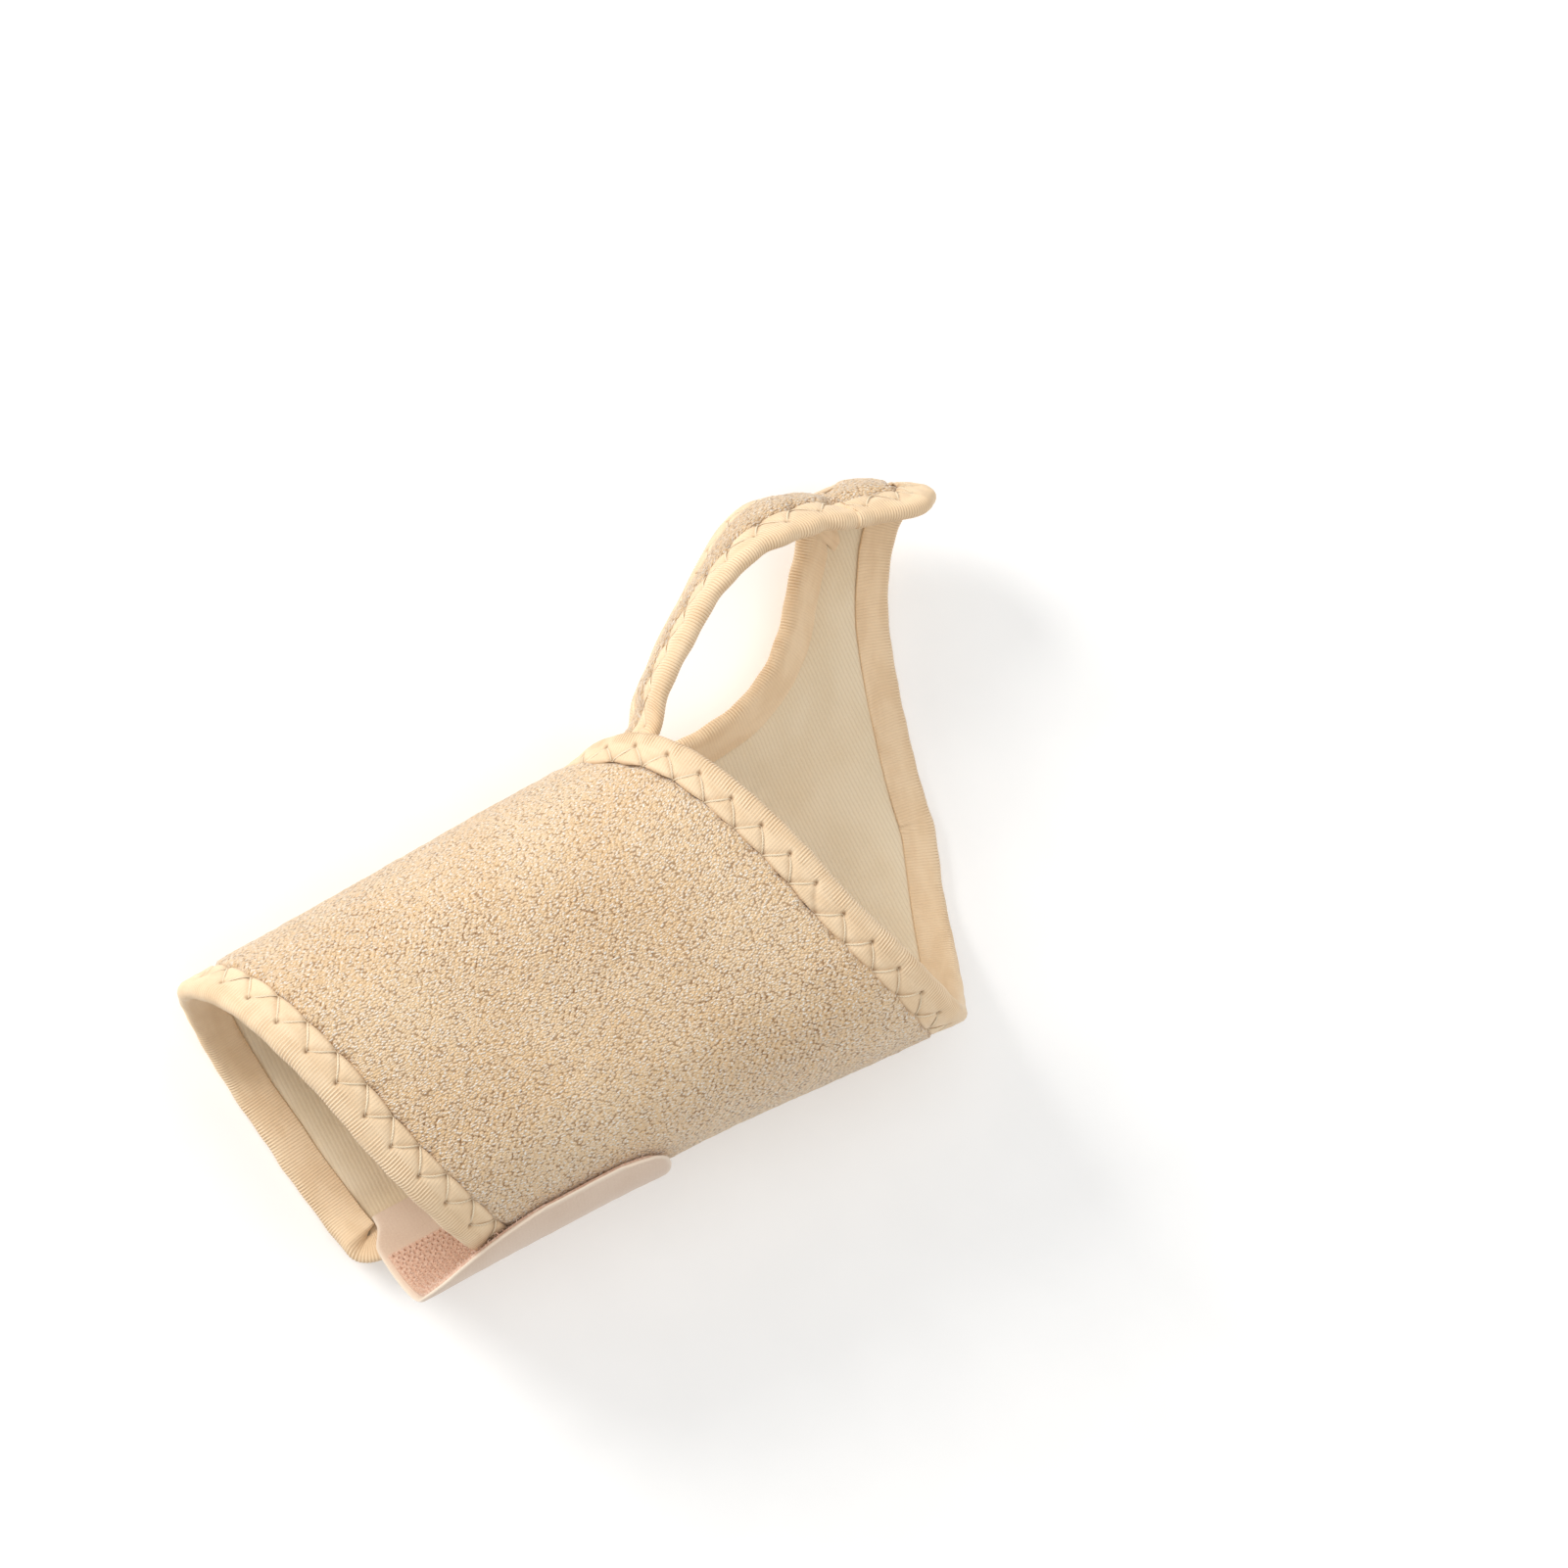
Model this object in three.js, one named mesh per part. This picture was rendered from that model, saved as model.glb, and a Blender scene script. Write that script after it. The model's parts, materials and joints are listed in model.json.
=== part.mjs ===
// Wrist splint: a soft wrap of pile-faced foam laminate with a thumb loop and a hook tab, in its worn, closed shape.
// Millimetres, +Z up. The wrap lies on its dorsal side: the outer strap is on the table, the palm side faces up,
// +X runs towards the fingers and +Y towards the thumb.
import * as THREE from "three";

// ---------------------------------------------------------------- driving dimensions
const LAMINATE = 3.4; // pile + foam + lining, uncompressed
const LAYER_GAP = 0.5; // between the inner turn and the outer turn
const OUTER_TURN = LAMINATE + LAYER_GAP; // where the inner face of the outer turn lies
const SHARES = { lining: [0, 0.14], foam: [0.17, 0.73], pile: [0.76, 1] }; // of the local thickness
const SQUEEZE_LOW = 0.7; // how far the edge tape presses the lining face in
const SQUEEZE_HIGH = 1.12; // and the pile face
const TAPE = 0.55; // thickness of the edge tape
const TAPE_FLAP = 6.2; // width of each flap of the folded edge tape
const TAPE_FOLD = 0.75; // how far the folded tape stands past the laminate's edge
const TAPE_TOP = LAMINATE - 0.4; // outer face of the tape
const STITCH_LOW = LAMINATE - 0.19;
const STITCH_HIGH = LAMINATE - 0.01;
const STITCH_WIDE = 0.45;
const STITCH_STEP = 3.25; // half a zigzag
const TAB_HOOKS = [OUTER_TURN + 0.02, OUTER_TURN + 0.75];
const TAB_BACK = [OUTER_TURN + 0.85, OUTER_TURN + 1.65];
const FOLD_GAP = 0.5; // degrees left free on each side of a fold line
const FOLD_RADIAL_VOLAR = 318; // fold lines between the bodies, as angles round the wrist
const FOLD_RADIAL_DORSAL = 405;
const FOLD_TAB = 495;
const BOTTOM = 7.3; // lowest inner face: two laminates and a gap above the table
const TOP = 49.2; // highest inner face
const STRIP_END = -22; // angle of the strip's end edge, which is the palm edge of the thumb loop
const SQUARENESS = 0.87; // exponent of the section's rounding
const LOOP_NEAR = 78.8; // where the thumb loop starts along the arm
const LOOP_FAR = 127.2; // and where it ends
const CENTRE = [67.9, 16.61]; // x, y of the origin at the middle of the footprint

// ---------------------------------------------------------------- tables along the arm and round the wrist
function curve(points) {
  const n = points.length;
  const slope = points.map((p, i) => {
    if (i === 0) return (points[1][1] - p[1]) / (points[1][0] - p[0]);
    if (i === n - 1) return (p[1] - points[n - 2][1]) / (p[0] - points[n - 2][0]);
    const a = (p[1] - points[i - 1][1]) / (p[0] - points[i - 1][0]);
    const b = (points[i + 1][1] - p[1]) / (points[i + 1][0] - p[0]);
    return a * b <= 0 ? 0 : (2 * a * b) / (a + b);
  });
  return (t) => {
    if (t <= points[0][0]) return points[0][1] + slope[0] * (t - points[0][0]);
    if (t >= points[n - 1][0]) return points[n - 1][1] + slope[n - 1] * (t - points[n - 1][0]);
    let i = 0;
    while (t > points[i + 1][0]) i++;
    const [x0, y0] = points[i];
    const [x1, y1] = points[i + 1];
    const h = x1 - x0;
    const s = (t - x0) / h;
    return (
      y0 * (1 + 2 * s) * (1 - s) * (1 - s) + slope[i] * h * s * (1 - s) * (1 - s) +
      y1 * s * s * (3 - 2 * s) + slope[i + 1] * h * s * s * (s - 1)
    );
  };
}
const smooth = (a, b, t) => {
  const s = Math.min(1, Math.max(0, (t - a) / (b - a)));
  return s * s * (3 - 2 * s);
};
const mix = (a, b, t) => a + (b - a) * t;

const radialWidth = curve([[-20, 27.6], [-13, 28], [20, 29.5], [45, 30.8], [60, 31.4], [66, 32], [69, 32.9], [72, 34.1], [75, 35.6], [79, 36.8], [84, 37.2], [90, 37.2], [100, 38.4], [110, 42.8], [118, 50], [125, 57], [130.5, 60.2], [136, 60], [142, 57.5], [148, 54]]);
const ulnarWidth = curve([[-20, 26.5], [12, 26.6], [50, 26.9], [80, 28.6], [108, 30.5], [125, 31.5], [147, 32]]);
const radialHeight = curve([[-20, 28.15], [72, 28.15], [85, 26.3], [100, 23.5], [115, 20], [130, 17], [147, 16]]);
const bottomOf = (x) => mix(BOTTOM, LAMINATE, smooth(65, 88, x));
const loopTopY = curve([[70, 31.4], [75, 33.7], [79, 37.2], [85, 42.6], [93, 48.2], [101.6, 53.2], [112.5, 56], [122.5, 55.4], [130.5, 53.2], [137, 51.8], [143, 50], [148, 48.3]]);
const loopTopZ = curve([[70, 37], [75, 38], [85, 39.8], [93, 40], [101.6, 39.5], [112.5, 37], [122.5, 33.5], [130.5, 31], [137, 29], [143, 27.5], [147, 26.8]]);
const loopLowY = curve([[70, 33], [75, 35.6], [79, 38.4], [86, 43.8], [93, 49.7], [99, 53.7], [106, 58.5], [113, 62.6], [118, 63.9], [124, 62.3], [127.5, 60.5], [130.5, 59.5]]);
const loopLowZ = curve([[70, 20], [75, 20.3], [86, 21], [93, 21], [99, 20.5], [106, 19.5], [113, 18], [118, 17], [124, 15.5], [130.5, 14]]);
const proximal = curve([[-22, 46.5], [0, 45], [45, 37], [90, 29], [135, 21], [180, 13], [225, 6], [270, -1], [315, -8], [360, -13.4], [405, -12], [450, -9], [480, -6.5], [520, -3]]);
const distal = curve([[-22, 142.5], [-16, 146.6], [-8, 148.9], [0, 149.2], [30, 143.5], [60, 134.8], [90, 126.4], [135, 117], [180, 108], [225, 100.5], [270, 91], [315, 80], [360, 68.7], [405, 63], [450, 57], [485, 53], [520, 47]]);
const holeNear = curve([[-22, 75.4], [0, 75.4], [10, 75.7], [21, 77.6], [32, 85]]);
const holeFar = curve([[-22, 130.6], [0, 130.6], [10, 130], [21, 127], [32, 117]]);
const HOLE_LOW = 32; // angle of the thumb hole's dorsal edge

// ---------------------------------------------------------------- the wrapped surface
const rad = (a) => (a * Math.PI) / 180;
const power = (v) => Math.sign(v) * Math.abs(v) ** SQUARENESS;
function section(angle, x) {
  const c = Math.cos(rad(angle));
  const s = Math.sin(rad(angle));
  const middle = mix(radialHeight(x), 28.15, smooth(-1, 1, -c));
  const y = (c > 0 ? radialWidth(x) : ulnarWidth(x)) * power(c);
  let z;
  if (s > 0) {
    const low = bottomOf(x);
    const h = middle - (middle - low + 1.6) * power(s) - low;
    z = h > 0.8 ? low + h : h < -0.8 ? low : low + (h + 0.8) ** 2 / 3.2;
  } else z = middle + (TOP - middle) * power(-s);
  if (angle < 0 && x > 76) {
    const w = smooth(76, 92, x);
    const t = angle / STRIP_END;
    return [mix(y, mix(radialWidth(x), loopTopY(x), t ** 1.4), w), mix(z, mix(middle, loopTopZ(x), t), w)];
  }
  return [y, z];
}
function wrap(angle, x, d) {
  const lift = OUTER_TURN * smooth(255, 316, angle);
  const step = 0.6;
  const [y0, z0] = section(angle - step, x);
  const [y1, z1] = section(angle + step, x);
  const [y, z] = section(angle, x);
  let ny = -(z1 - z0);
  let nz = y1 - y0;
  const long = Math.hypot(ny, nz);
  ny /= long;
  nz /= long;
  return [x, y + ny * (d + lift), z + nz * (d + lift)];
}
function loop(u, v, d) {
  // u runs from the wrist to the web, v from the palm edge to the thumb edge
  const at = (a, b) => {
    const x = mix(LOOP_NEAR, LOOP_FAR, a);
    return new THREE.Vector3(x, mix(loopTopY(x), loopLowY(x), b) + mix(0.9, 2.4, smooth(104, 124, x)) * Math.sin(Math.PI * b), mix(loopTopZ(x), loopLowZ(x), b));
  };
  const e = 0.01;
  const p = at(u, v);
  const along = at(u + e, v).sub(at(u - e, v));
  const across = at(u, v + e).sub(at(u, v - e));
  const n = along.cross(across).normalize();
  if (n.y < 0) n.negate();
  p.addScaledVector(n, d);
  return [p.x, p.y, p.z];
}
// ---------------------------------------------------------------- solids
function solid(points, triangles) {
  let volume = 0;
  for (const [a, b, c] of triangles) {
    const [p, q, r] = [points[a], points[b], points[c]];
    volume += p[0] * (q[1] * r[2] - q[2] * r[1]) + p[1] * (q[2] * r[0] - q[0] * r[2]) + p[2] * (q[0] * r[1] - q[1] * r[0]);
  }
  const faces = volume < 0 ? triangles.map(([a, b, c]) => [a, c, b]) : triangles;
  const geometry = new THREE.BufferGeometry();
  geometry.setAttribute("position", new THREE.Float32BufferAttribute(points.flatMap((p) => [p[0] - CENTRE[0], p[1] - CENTRE[1], p[2]]), 3));
  geometry.setIndex(faces.flat());
  geometry.computeVertexNormals();
  return geometry;
}
// A plate on a grid of columns and rows; cells may be left out.
function plate(columns, rows, low, high, present = () => true) {
  const points = [];
  const at = (i, j, k) => (k * columns + i) * rows + j;
  for (const f of [low, high]) for (let i = 0; i < columns; i++) for (let j = 0; j < rows; j++) points.push(f(i, j));
  const triangles = [];
  const quad = (a, b, c, d) => triangles.push([a, b, c], [a, c, d]);
  const has = (i, j) => i >= 0 && j >= 0 && i < columns - 1 && j < rows - 1 && present(i, j);
  for (let i = 0; i < columns - 1; i++)
    for (let j = 0; j < rows - 1; j++) {
      if (!has(i, j)) continue;
      quad(at(i, j, 1), at(i + 1, j, 1), at(i + 1, j + 1, 1), at(i, j + 1, 1));
      const [a, b, c, d] = [at(i, j, 0), at(i + 1, j, 0), at(i + 1, j + 1, 0), at(i, j + 1, 0)];
      triangles.push([a, c, b], [a, d, c]);
      if (!has(i - 1, j)) quad(at(i, j, 0), at(i, j, 1), at(i, j + 1, 1), at(i, j + 1, 0));
      if (!has(i + 1, j)) quad(at(i + 1, j + 1, 0), at(i + 1, j + 1, 1), at(i + 1, j, 1), at(i + 1, j, 0));
      if (!has(i, j - 1)) quad(at(i + 1, j, 0), at(i + 1, j, 1), at(i, j, 1), at(i, j, 0));
      if (!has(i, j + 1)) quad(at(i, j + 1, 0), at(i, j + 1, 1), at(i + 1, j + 1, 1), at(i + 1, j + 1, 0));
    }
  const used = [...new Set(triangles.flat())].sort((a, b) => a - b);
  const renamed = new Map(used.map((v, k) => [v, k]));
  return solid(used.map((v) => points[v]), triangles.map((t) => t.map((v) => renamed.get(v))));
}
// A bar whose section, a flat outline, is swept through a list of stations.
function bar(outline, stations, place, mirrored = false) {
  const n = outline.length;
  const points = stations.flatMap((s, i) => outline.map(([e, d]) => place(s, e, d, i)));
  const caps = THREE.ShapeUtils.triangulateShape(outline.map(([e, d]) => new THREE.Vector2(e, d)), []);
  const turned = THREE.ShapeUtils.area(outline.map(([e, d]) => new THREE.Vector2(e, d))) < 0;
  const triangles = [];
  for (let i = 0; i < stations.length - 1; i++)
    for (let k = 0; k < n; k++) {
      const [a, b] = [i * n + k, i * n + ((k + 1) % n)];
      // The diagonals run as the laminate's do, so that parallel faces stay parallel.
      if (outline[(k + 1) % n][0] >= outline[k][0] !== mirrored) triangles.push([a, b, b + n], [a, b + n, a + n]);
      else triangles.push([a, b, a + n], [b, b + n, a + n]);
    }
  const last = (stations.length - 1) * n;
  for (const [a, b, c] of caps) {
    triangles.push(turned ? [a, b, c] : [a, c, b]);
    triangles.push(turned ? [last + a, last + c, last + b] : [last + a, last + b, last + c]);
  }
  return solid(points, triangles);
}
// The folded edge tape: e runs from the laminate's edge inwards, d from its lining face outwards.
const FOLDED = [
  [TAPE_FLAP, TAPE_TOP], [-TAPE_FOLD + 0.45, TAPE_TOP], [-TAPE_FOLD, TAPE_TOP - 0.6], [-TAPE_FOLD, 0.6], [-TAPE_FOLD + 0.45, 0], [TAPE_FLAP, 0],
  [TAPE_FLAP, TAPE], [-0.12, TAPE], [-0.12, TAPE_TOP - TAPE], [TAPE_FLAP, TAPE_TOP - TAPE],
];
const BEAD = [[-0.35, 0.35], [-0.35, 3.0], [-0.9, 3.0], [-1.4, 2.4], [-1.4, 0.9], [-0.9, 0.35]];

const spread = (from, to, step) => {
  const n = Math.max(1, Math.round((to - from) / step));
  return Array.from({ length: n + 1 }, (_, i) => from + ((to - from) * i) / n);
};
// How the layers share the thickness where the edge tape squeezes it (1) and where it doesn't (0).
const share = (name, side, squeeze) => {
  const low = SQUEEZE_LOW * squeeze;
  const high = LAMINATE - SQUEEZE_HIGH * squeeze;
  return mix(low, high, SHARES[name][side]);
};

const material = (colour, roughness) => new THREE.MeshStandardMaterial({ color: colour, roughness, metalness: 0 });
const LOOKS = {
  pile: [0xe0c39c, 0.95], foam: [0xcdb894, 0.9], lining: [0xecd7b4, 0.8], tape: [0xf0d3a6, 0.75], thread: [0xe8cfa2, 0.6],
  back: [0xdcc9b4, 0.7], hooks: [0xc49a82, 0.85],
};
const model = new THREE.Group();
function add(name, geometry, look) {
  const mesh = new THREE.Mesh(geometry, material(...LOOKS[look]));
  mesh.name = name;
  model.add(mesh);
}

// ---------------------------------------------------------------- laminates
const ROWS = [[0, 1], [6.35, 1], [7.3, 0]]; // distance from a bound edge, squeeze
function strip(prefix, angles, middles) {
  const lines = angles.map((a) => {
    const [p, q] = [proximal(a), distal(a)];
    const inner = middles.map((m) => [mix(p + 7.3, q - 7.3, m), 0]);
    return [...ROWS.map(([e, k]) => [p + e, k]), ...inner, ...[...ROWS].reverse().map(([e, k]) => [q - e, k])];
  });
  for (const name of ["pile", "foam", "lining"])
    add(`${prefix}_${name}`, plate(angles.length, lines[0].length,
      (i, j) => wrap(angles[i], lines[i][j][0], share(name, 0, lines[i][j][1])),
      (i, j) => wrap(angles[i], lines[i][j][0], share(name, 1, lines[i][j][1]))), name);
}

// The cuff: back-of-hand panel, ulnar side and volar panel in one, with the thumb hole's dorsal edge.
const CUFF_HEAD = [STRIP_END, -16, -10, 0, 8, 16, 24, HOLE_LOW];
const CUFF_END = FOLD_RADIAL_VOLAR - FOLD_GAP;
const CUFF_REST = [45, 51, 57, 64, 70, 77, 84, 98, 112, 125, 135.9, 147, 158, 169, 180, 188, 198, 205, 214, 223, 233, 244, 255, 268, 281, 294, 306, CUFF_END];
const cuffAngles = [...CUFF_HEAD, ...CUFF_REST];
const cuffLines = cuffAngles.map((a) => {
  const [p, q] = [proximal(a), distal(a)];
  const near = mix(holeNear(Math.min(a, HOLE_LOW)), mix(p, q, 0.45), smooth(HOLE_LOW, 100, a));
  const far = mix(holeFar(Math.min(a, HOLE_LOW)), mix(p, q, 0.66), smooth(HOLE_LOW, 100, a));
  const ramp = mix(65, mix(p, q, 0.25), smooth(110, 160, a)); // where the back-of-hand panel starts down to the table
  return [[p, 1], [p + 6.35, 1], [p + 7.3, 0], [ramp, 0], [near, 0], [mix(near, far, 0.5), 0], [far, 0], [q - 7.3, 0], [q - 6.35, 1], [q, 1]];
});
const inHole = (i, j) => i < CUFF_HEAD.length - 1 && (j === 4 || j === 5);
for (const name of ["pile", "foam", "lining"])
  add(`cuff_${name}`, plate(cuffAngles.length, cuffLines[0].length,
    (i, j) => wrap(cuffAngles[i], cuffLines[i][j][0], share(name, 0, cuffLines[i][j][1])),
    (i, j) => wrap(cuffAngles[i], cuffLines[i][j][0], share(name, 1, cuffLines[i][j][1])), (i, j) => !inHole(i, j)), name);

const flankAngles = [FOLD_RADIAL_VOLAR + FOLD_GAP, 323, 328, 333, 338, 349, 360, 368, 376, 384, 392, FOLD_RADIAL_DORSAL - FOLD_GAP];
strip("radial_flank", flankAngles, [0.5]);

const strapAngles = [FOLD_RADIAL_DORSAL + FOLD_GAP, 417, 430, 444, 458, 472, 477];
const STRAP_TAIL = [478.5, 485, FOLD_TAB - 1.2]; // thinned from its lining side where the tab is sewn on
const strapAll = [...strapAngles, ...STRAP_TAIL];
const TAIL_LIFT = 1.35;
const strapLines = strapAll.map((a) => {
  const [p, q] = [proximal(a), distal(a)];
  return [...ROWS.map(([e, k]) => [p + e, k]), [mix(p, q, 0.5), 0], ...[...ROWS].reverse().map(([e, k]) => [q - e, k])];
});
const strapShare = (name, side, k, a) => {
  const tail = a > 477 ? TAIL_LIFT : 0;
  const low = Math.max(SQUEEZE_LOW * k, tail);
  const high = LAMINATE - SQUEEZE_HIGH * k;
  return mix(low, high, SHARES[name][side]);
};
for (const name of ["pile", "foam", "lining"])
  add(`outer_strap_${name}`, plate(strapAll.length, strapLines[0].length,
    (i, j) => wrap(strapAll[i], strapLines[i][j][0], strapShare(name, 0, strapLines[i][j][1], strapAll[i])),
    (i, j) => wrap(strapAll[i], strapLines[i][j][0], strapShare(name, 1, strapLines[i][j][1], strapAll[i]))), name);

// ---------------------------------------------------------------- edge tapes and zigzag seams along the strip
function edgeTape(name, angles, side) {
  const edge = side === "proximal" ? proximal : distal;
  const sign = side === "proximal" ? 1 : -1;
  add(name, bar(FOLDED, angles, (a, e, d) => wrap(a, edge(a) + sign * e, d), side === "distal"), "tape");
}
function alongEdge(from, to, side) {
  // Angles at equal steps of length along the edge.
  const edge = side === "proximal" ? proximal : distal;
  const fine = spread(from, to, 0.5);
  const lengths = [0];
  for (let i = 1; i < fine.length; i++) {
    const [p, q] = [wrap(fine[i - 1], edge(fine[i - 1]), 3), wrap(fine[i], edge(fine[i]), 3)];
    lengths.push(lengths[i - 1] + Math.hypot(q[0] - p[0], q[1] - p[1], q[2] - p[2]));
  }
  const total = lengths.at(-1);
  const n = Math.round(total / STITCH_STEP);
  return Array.from({ length: n + 1 }, (_, k) => {
    const want = (total * k) / n;
    let i = lengths.findIndex((l) => l >= want - 1e-9);
    if (i < 1) i = 1;
    return mix(fine[i - 1], fine[i], (want - lengths[i - 1]) / (lengths[i] - lengths[i - 1]));
  });
}
// A flat zigzag thread: its corners alternate between two distances from the edge.
function zigzag(name, corners, place) {
  const half = STITCH_WIDE / 2;
  const outline = [[-half, STITCH_LOW], [half, STITCH_LOW], [half, STITCH_HIGH], [-half, STITCH_HIGH]];
  add(name, bar(outline, corners, (c, w, d, i) => {
    const before = corners[Math.max(0, i - 1)];
    const after = corners[Math.min(corners.length - 1, i + 1)];
    const unit = (p, q) => {
      const l = Math.hypot(q.s - p.s, q.e - p.e) || 1;
      return [(q.s - p.s) / l, (q.e - p.e) / l];
    };
    const [a, b] = [i ? unit(before, c) : unit(c, after), i < corners.length - 1 ? unit(c, after) : unit(before, c)];
    const mid = [a[0] + b[0], a[1] + b[1]];
    const l = Math.hypot(...mid) || 1;
    const side = [-mid[1] / l, mid[0] / l];
    const stretch = 1 / Math.max(0.4, Math.abs(side[0] * -a[1] + side[1] * a[0]));
    return place(c, side[0] * w * stretch, side[1] * w * stretch, d);
  }), "thread");
}
function edgeSeam(name, from, to, side) {
  const edge = side === "proximal" ? proximal : distal;
  const sign = side === "proximal" ? 1 : -1;
  const angles = alongEdge(from, to, side);
  const corners = angles.map((a, k) => ({ a, s: k * STITCH_STEP, e: k % 2 ? 2.3 : 5.6 }));
  const perDegree = (angles.at(-1) - angles[0]) / (corners.at(-1).s || 1);
  zigzag(name, corners, (c, ds, de, d) => wrap(c.a + ds * perDegree, edge(c.a + ds * perDegree) + sign * (c.e + de), d));
}
edgeTape("cuff_binding_proximal", cuffAngles, "proximal");
edgeTape("cuff_binding_distal", cuffAngles, "distal");
edgeTape("radial_flank_binding_proximal", flankAngles, "proximal");
edgeTape("radial_flank_binding_distal", flankAngles, "distal");
edgeTape("outer_strap_binding_proximal", strapAngles, "proximal");
edgeTape("outer_strap_binding_distal", strapAngles, "distal");
edgeSeam("cuff_stitching_proximal", 36, CUFF_END - 2.5, "proximal");
edgeSeam("cuff_stitching_distal", 2, CUFF_END - 2.5, "distal");
edgeSeam("radial_flank_stitching_proximal", flankAngles[0] + 2, flankAngles.at(-1) - 2, "proximal");
edgeSeam("radial_flank_stitching_distal", flankAngles[0] + 2, flankAngles.at(-1) - 2, "distal");
edgeSeam("outer_strap_stitching_proximal", strapAngles[0] + 2, 474, "proximal");
edgeSeam("outer_strap_stitching_distal", strapAngles[0] + 2, 474, "distal");

// The tape round the thumb hole's dorsal side, and on the strip's end on both sides of the loop.
const holePath = [
  ...[20, 26].map((a) => [a, holeNear(a)]), ...[HOLE_LOW].map((a) => [a, holeNear(a)]), [HOLE_LOW, mix(holeNear(HOLE_LOW), holeFar(HOLE_LOW), 0.5)],
  ...[HOLE_LOW, 24, 16, 12].map((a) => [a, holeFar(a)]),
];
function bead(name, path, inward) {
  // inward gives, for a point of the path, the direction into the laminate
  const frames = path.map(([a, x], i) => {
    const p = new THREE.Vector3(...wrap(a, x, 0));
    const n = new THREE.Vector3(...wrap(a, x, 1)).sub(p).normalize();
    const dirs = [];
    if (i > 0) dirs.push(p.clone().sub(new THREE.Vector3(...wrap(...path[i - 1], 0))).normalize());
    if (i < path.length - 1) dirs.push(new THREE.Vector3(...wrap(...path[i + 1], 0)).sub(p).normalize());
    const along = dirs.reduce((s, v) => s.add(v), new THREE.Vector3()).normalize();
    const e = n.clone().cross(along).normalize();
    const into = new THREE.Vector3(...wrap(a + inward(i)[0], x + inward(i)[1], 0)).sub(p);
    if (e.dot(into) < 0) e.negate();
    const stretch = dirs.length === 2 ? 1 / Math.max(0.5, along.dot(dirs[0])) : 1;
    return { p, n, e, stretch };
  });
  add(name, bar(BEAD, frames, (f, e, d) => f.p.clone().addScaledVector(f.e, e * f.stretch).addScaledVector(f.n, d).toArray()), "tape");
}
bead("thumb_hole_binding", holePath, (i) => (i < 2 ? [0, -1] : i > 4 ? [0, 1] : [1, 0]));
bead("strip_end_binding_wrist", [[STRIP_END, 48], [STRIP_END, 58], [STRIP_END, 68]], () => [1, 0]);
bead("strip_end_binding_web", [[STRIP_END, 131.4], [STRIP_END, 135.8], [STRIP_END, 141.2]], () => [1, 0]);

// ---------------------------------------------------------------- thumb loop
const loopU = spread(0, 1, 1 / 14);
const loopWide = (u) => new THREE.Vector3(...loop(u, 0, 0)).distanceTo(new THREE.Vector3(...loop(u, 1, 0)));
const loopV = (u, e) => e / loopWide(u);
const loopLines = loopU.map((u) => [[0, 1], [loopV(u, 6.35), 1], [loopV(u, 7.3), 0], [1 - loopV(u, 7.3), 0], [1 - loopV(u, 6.35), 1], [1, 1]]);
for (const name of ["pile", "foam", "lining"])
  add(`thumb_loop_${name}`, plate(loopU.length, 6,
    (i, j) => loop(loopU[i], loopLines[i][j][0], share(name, 0, loopLines[i][j][1])),
    (i, j) => loop(loopU[i], loopLines[i][j][0], share(name, 1, loopLines[i][j][1]))), name);
add("thumb_loop_binding_palm", bar(FOLDED, loopU, (u, e, d) => loop(u, loopV(u, e), d)), "tape");
add("thumb_loop_binding_thumb", bar(FOLDED, loopU, (u, e, d) => loop(u, 1 - loopV(u, e), d), true), "tape");
function loopSeam(name, flip) {
  const long = 82;
  const n = 24;
  const corners = Array.from({ length: n + 1 }, (_, k) => ({ u: mix(0.03, 0.97, k / n), s: k * STITCH_STEP, e: k % 2 ? 2.3 : 5.6 }));
  zigzag(name, corners, (c, ds, de, d) => {
    const u = c.u + ds / long;
    const v = loopV(u, c.e + de);
    return loop(u, flip ? 1 - v : v, d);
  });
}
loopSeam("thumb_loop_stitching_palm", false);
loopSeam("thumb_loop_stitching_thumb", true);

// ---------------------------------------------------------------- hook tab
const TAB_PROXIMAL = -2;
const TAB_DISTAL = 46.5;
const tabNear = curve([[540, TAB_PROXIMAL], [548, TAB_PROXIMAL], [558, 3], [565, 8], [570, 14.5], [574, 23]]);
const tabFar = curve([[540, TAB_DISTAL], [557, TAB_DISTAL], [565, 45.9], [570, 43.8], [574, 37]]);
const tabStart = FOLD_TAB + 0.9;
const tabAngles = [tabStart, 507, 518, 529, 540, 548, 558, 565, 570, 574];
function tabPlate(name, look, [low, high], inset) {
  const rows = [0, 0.2, 0.5, 0.8, 1];
  const xs = tabAngles.map((a) => {
    const [p, q] = a < 540 ? [TAB_PROXIMAL, TAB_DISTAL] : [tabNear(a), tabFar(a)];
    return rows.map((r) => mix(p + inset, q - inset, r));
  });
  const angle = (i) => (i === 0 ? tabAngles[0] + inset : i === tabAngles.length - 1 ? tabAngles[i] - inset * 1.2 : tabAngles[i]);
  add(name, plate(tabAngles.length, rows.length, (i, j) => wrapOuter(angle(i), xs[i][j], low), (i, j) => wrapOuter(angle(i), xs[i][j], high)), look);
}
// The tab lies on the cuff's outer face, so its distances are counted from the inner turn.
function wrapOuter(a, x, d) {
  return wrap(a - 360, x, d);
}
tabPlate("hook_tab_backing", "back", TAB_BACK, 0);
tabPlate("hook_tab_hooks", "hooks", TAB_HOOKS, 1.2);
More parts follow.
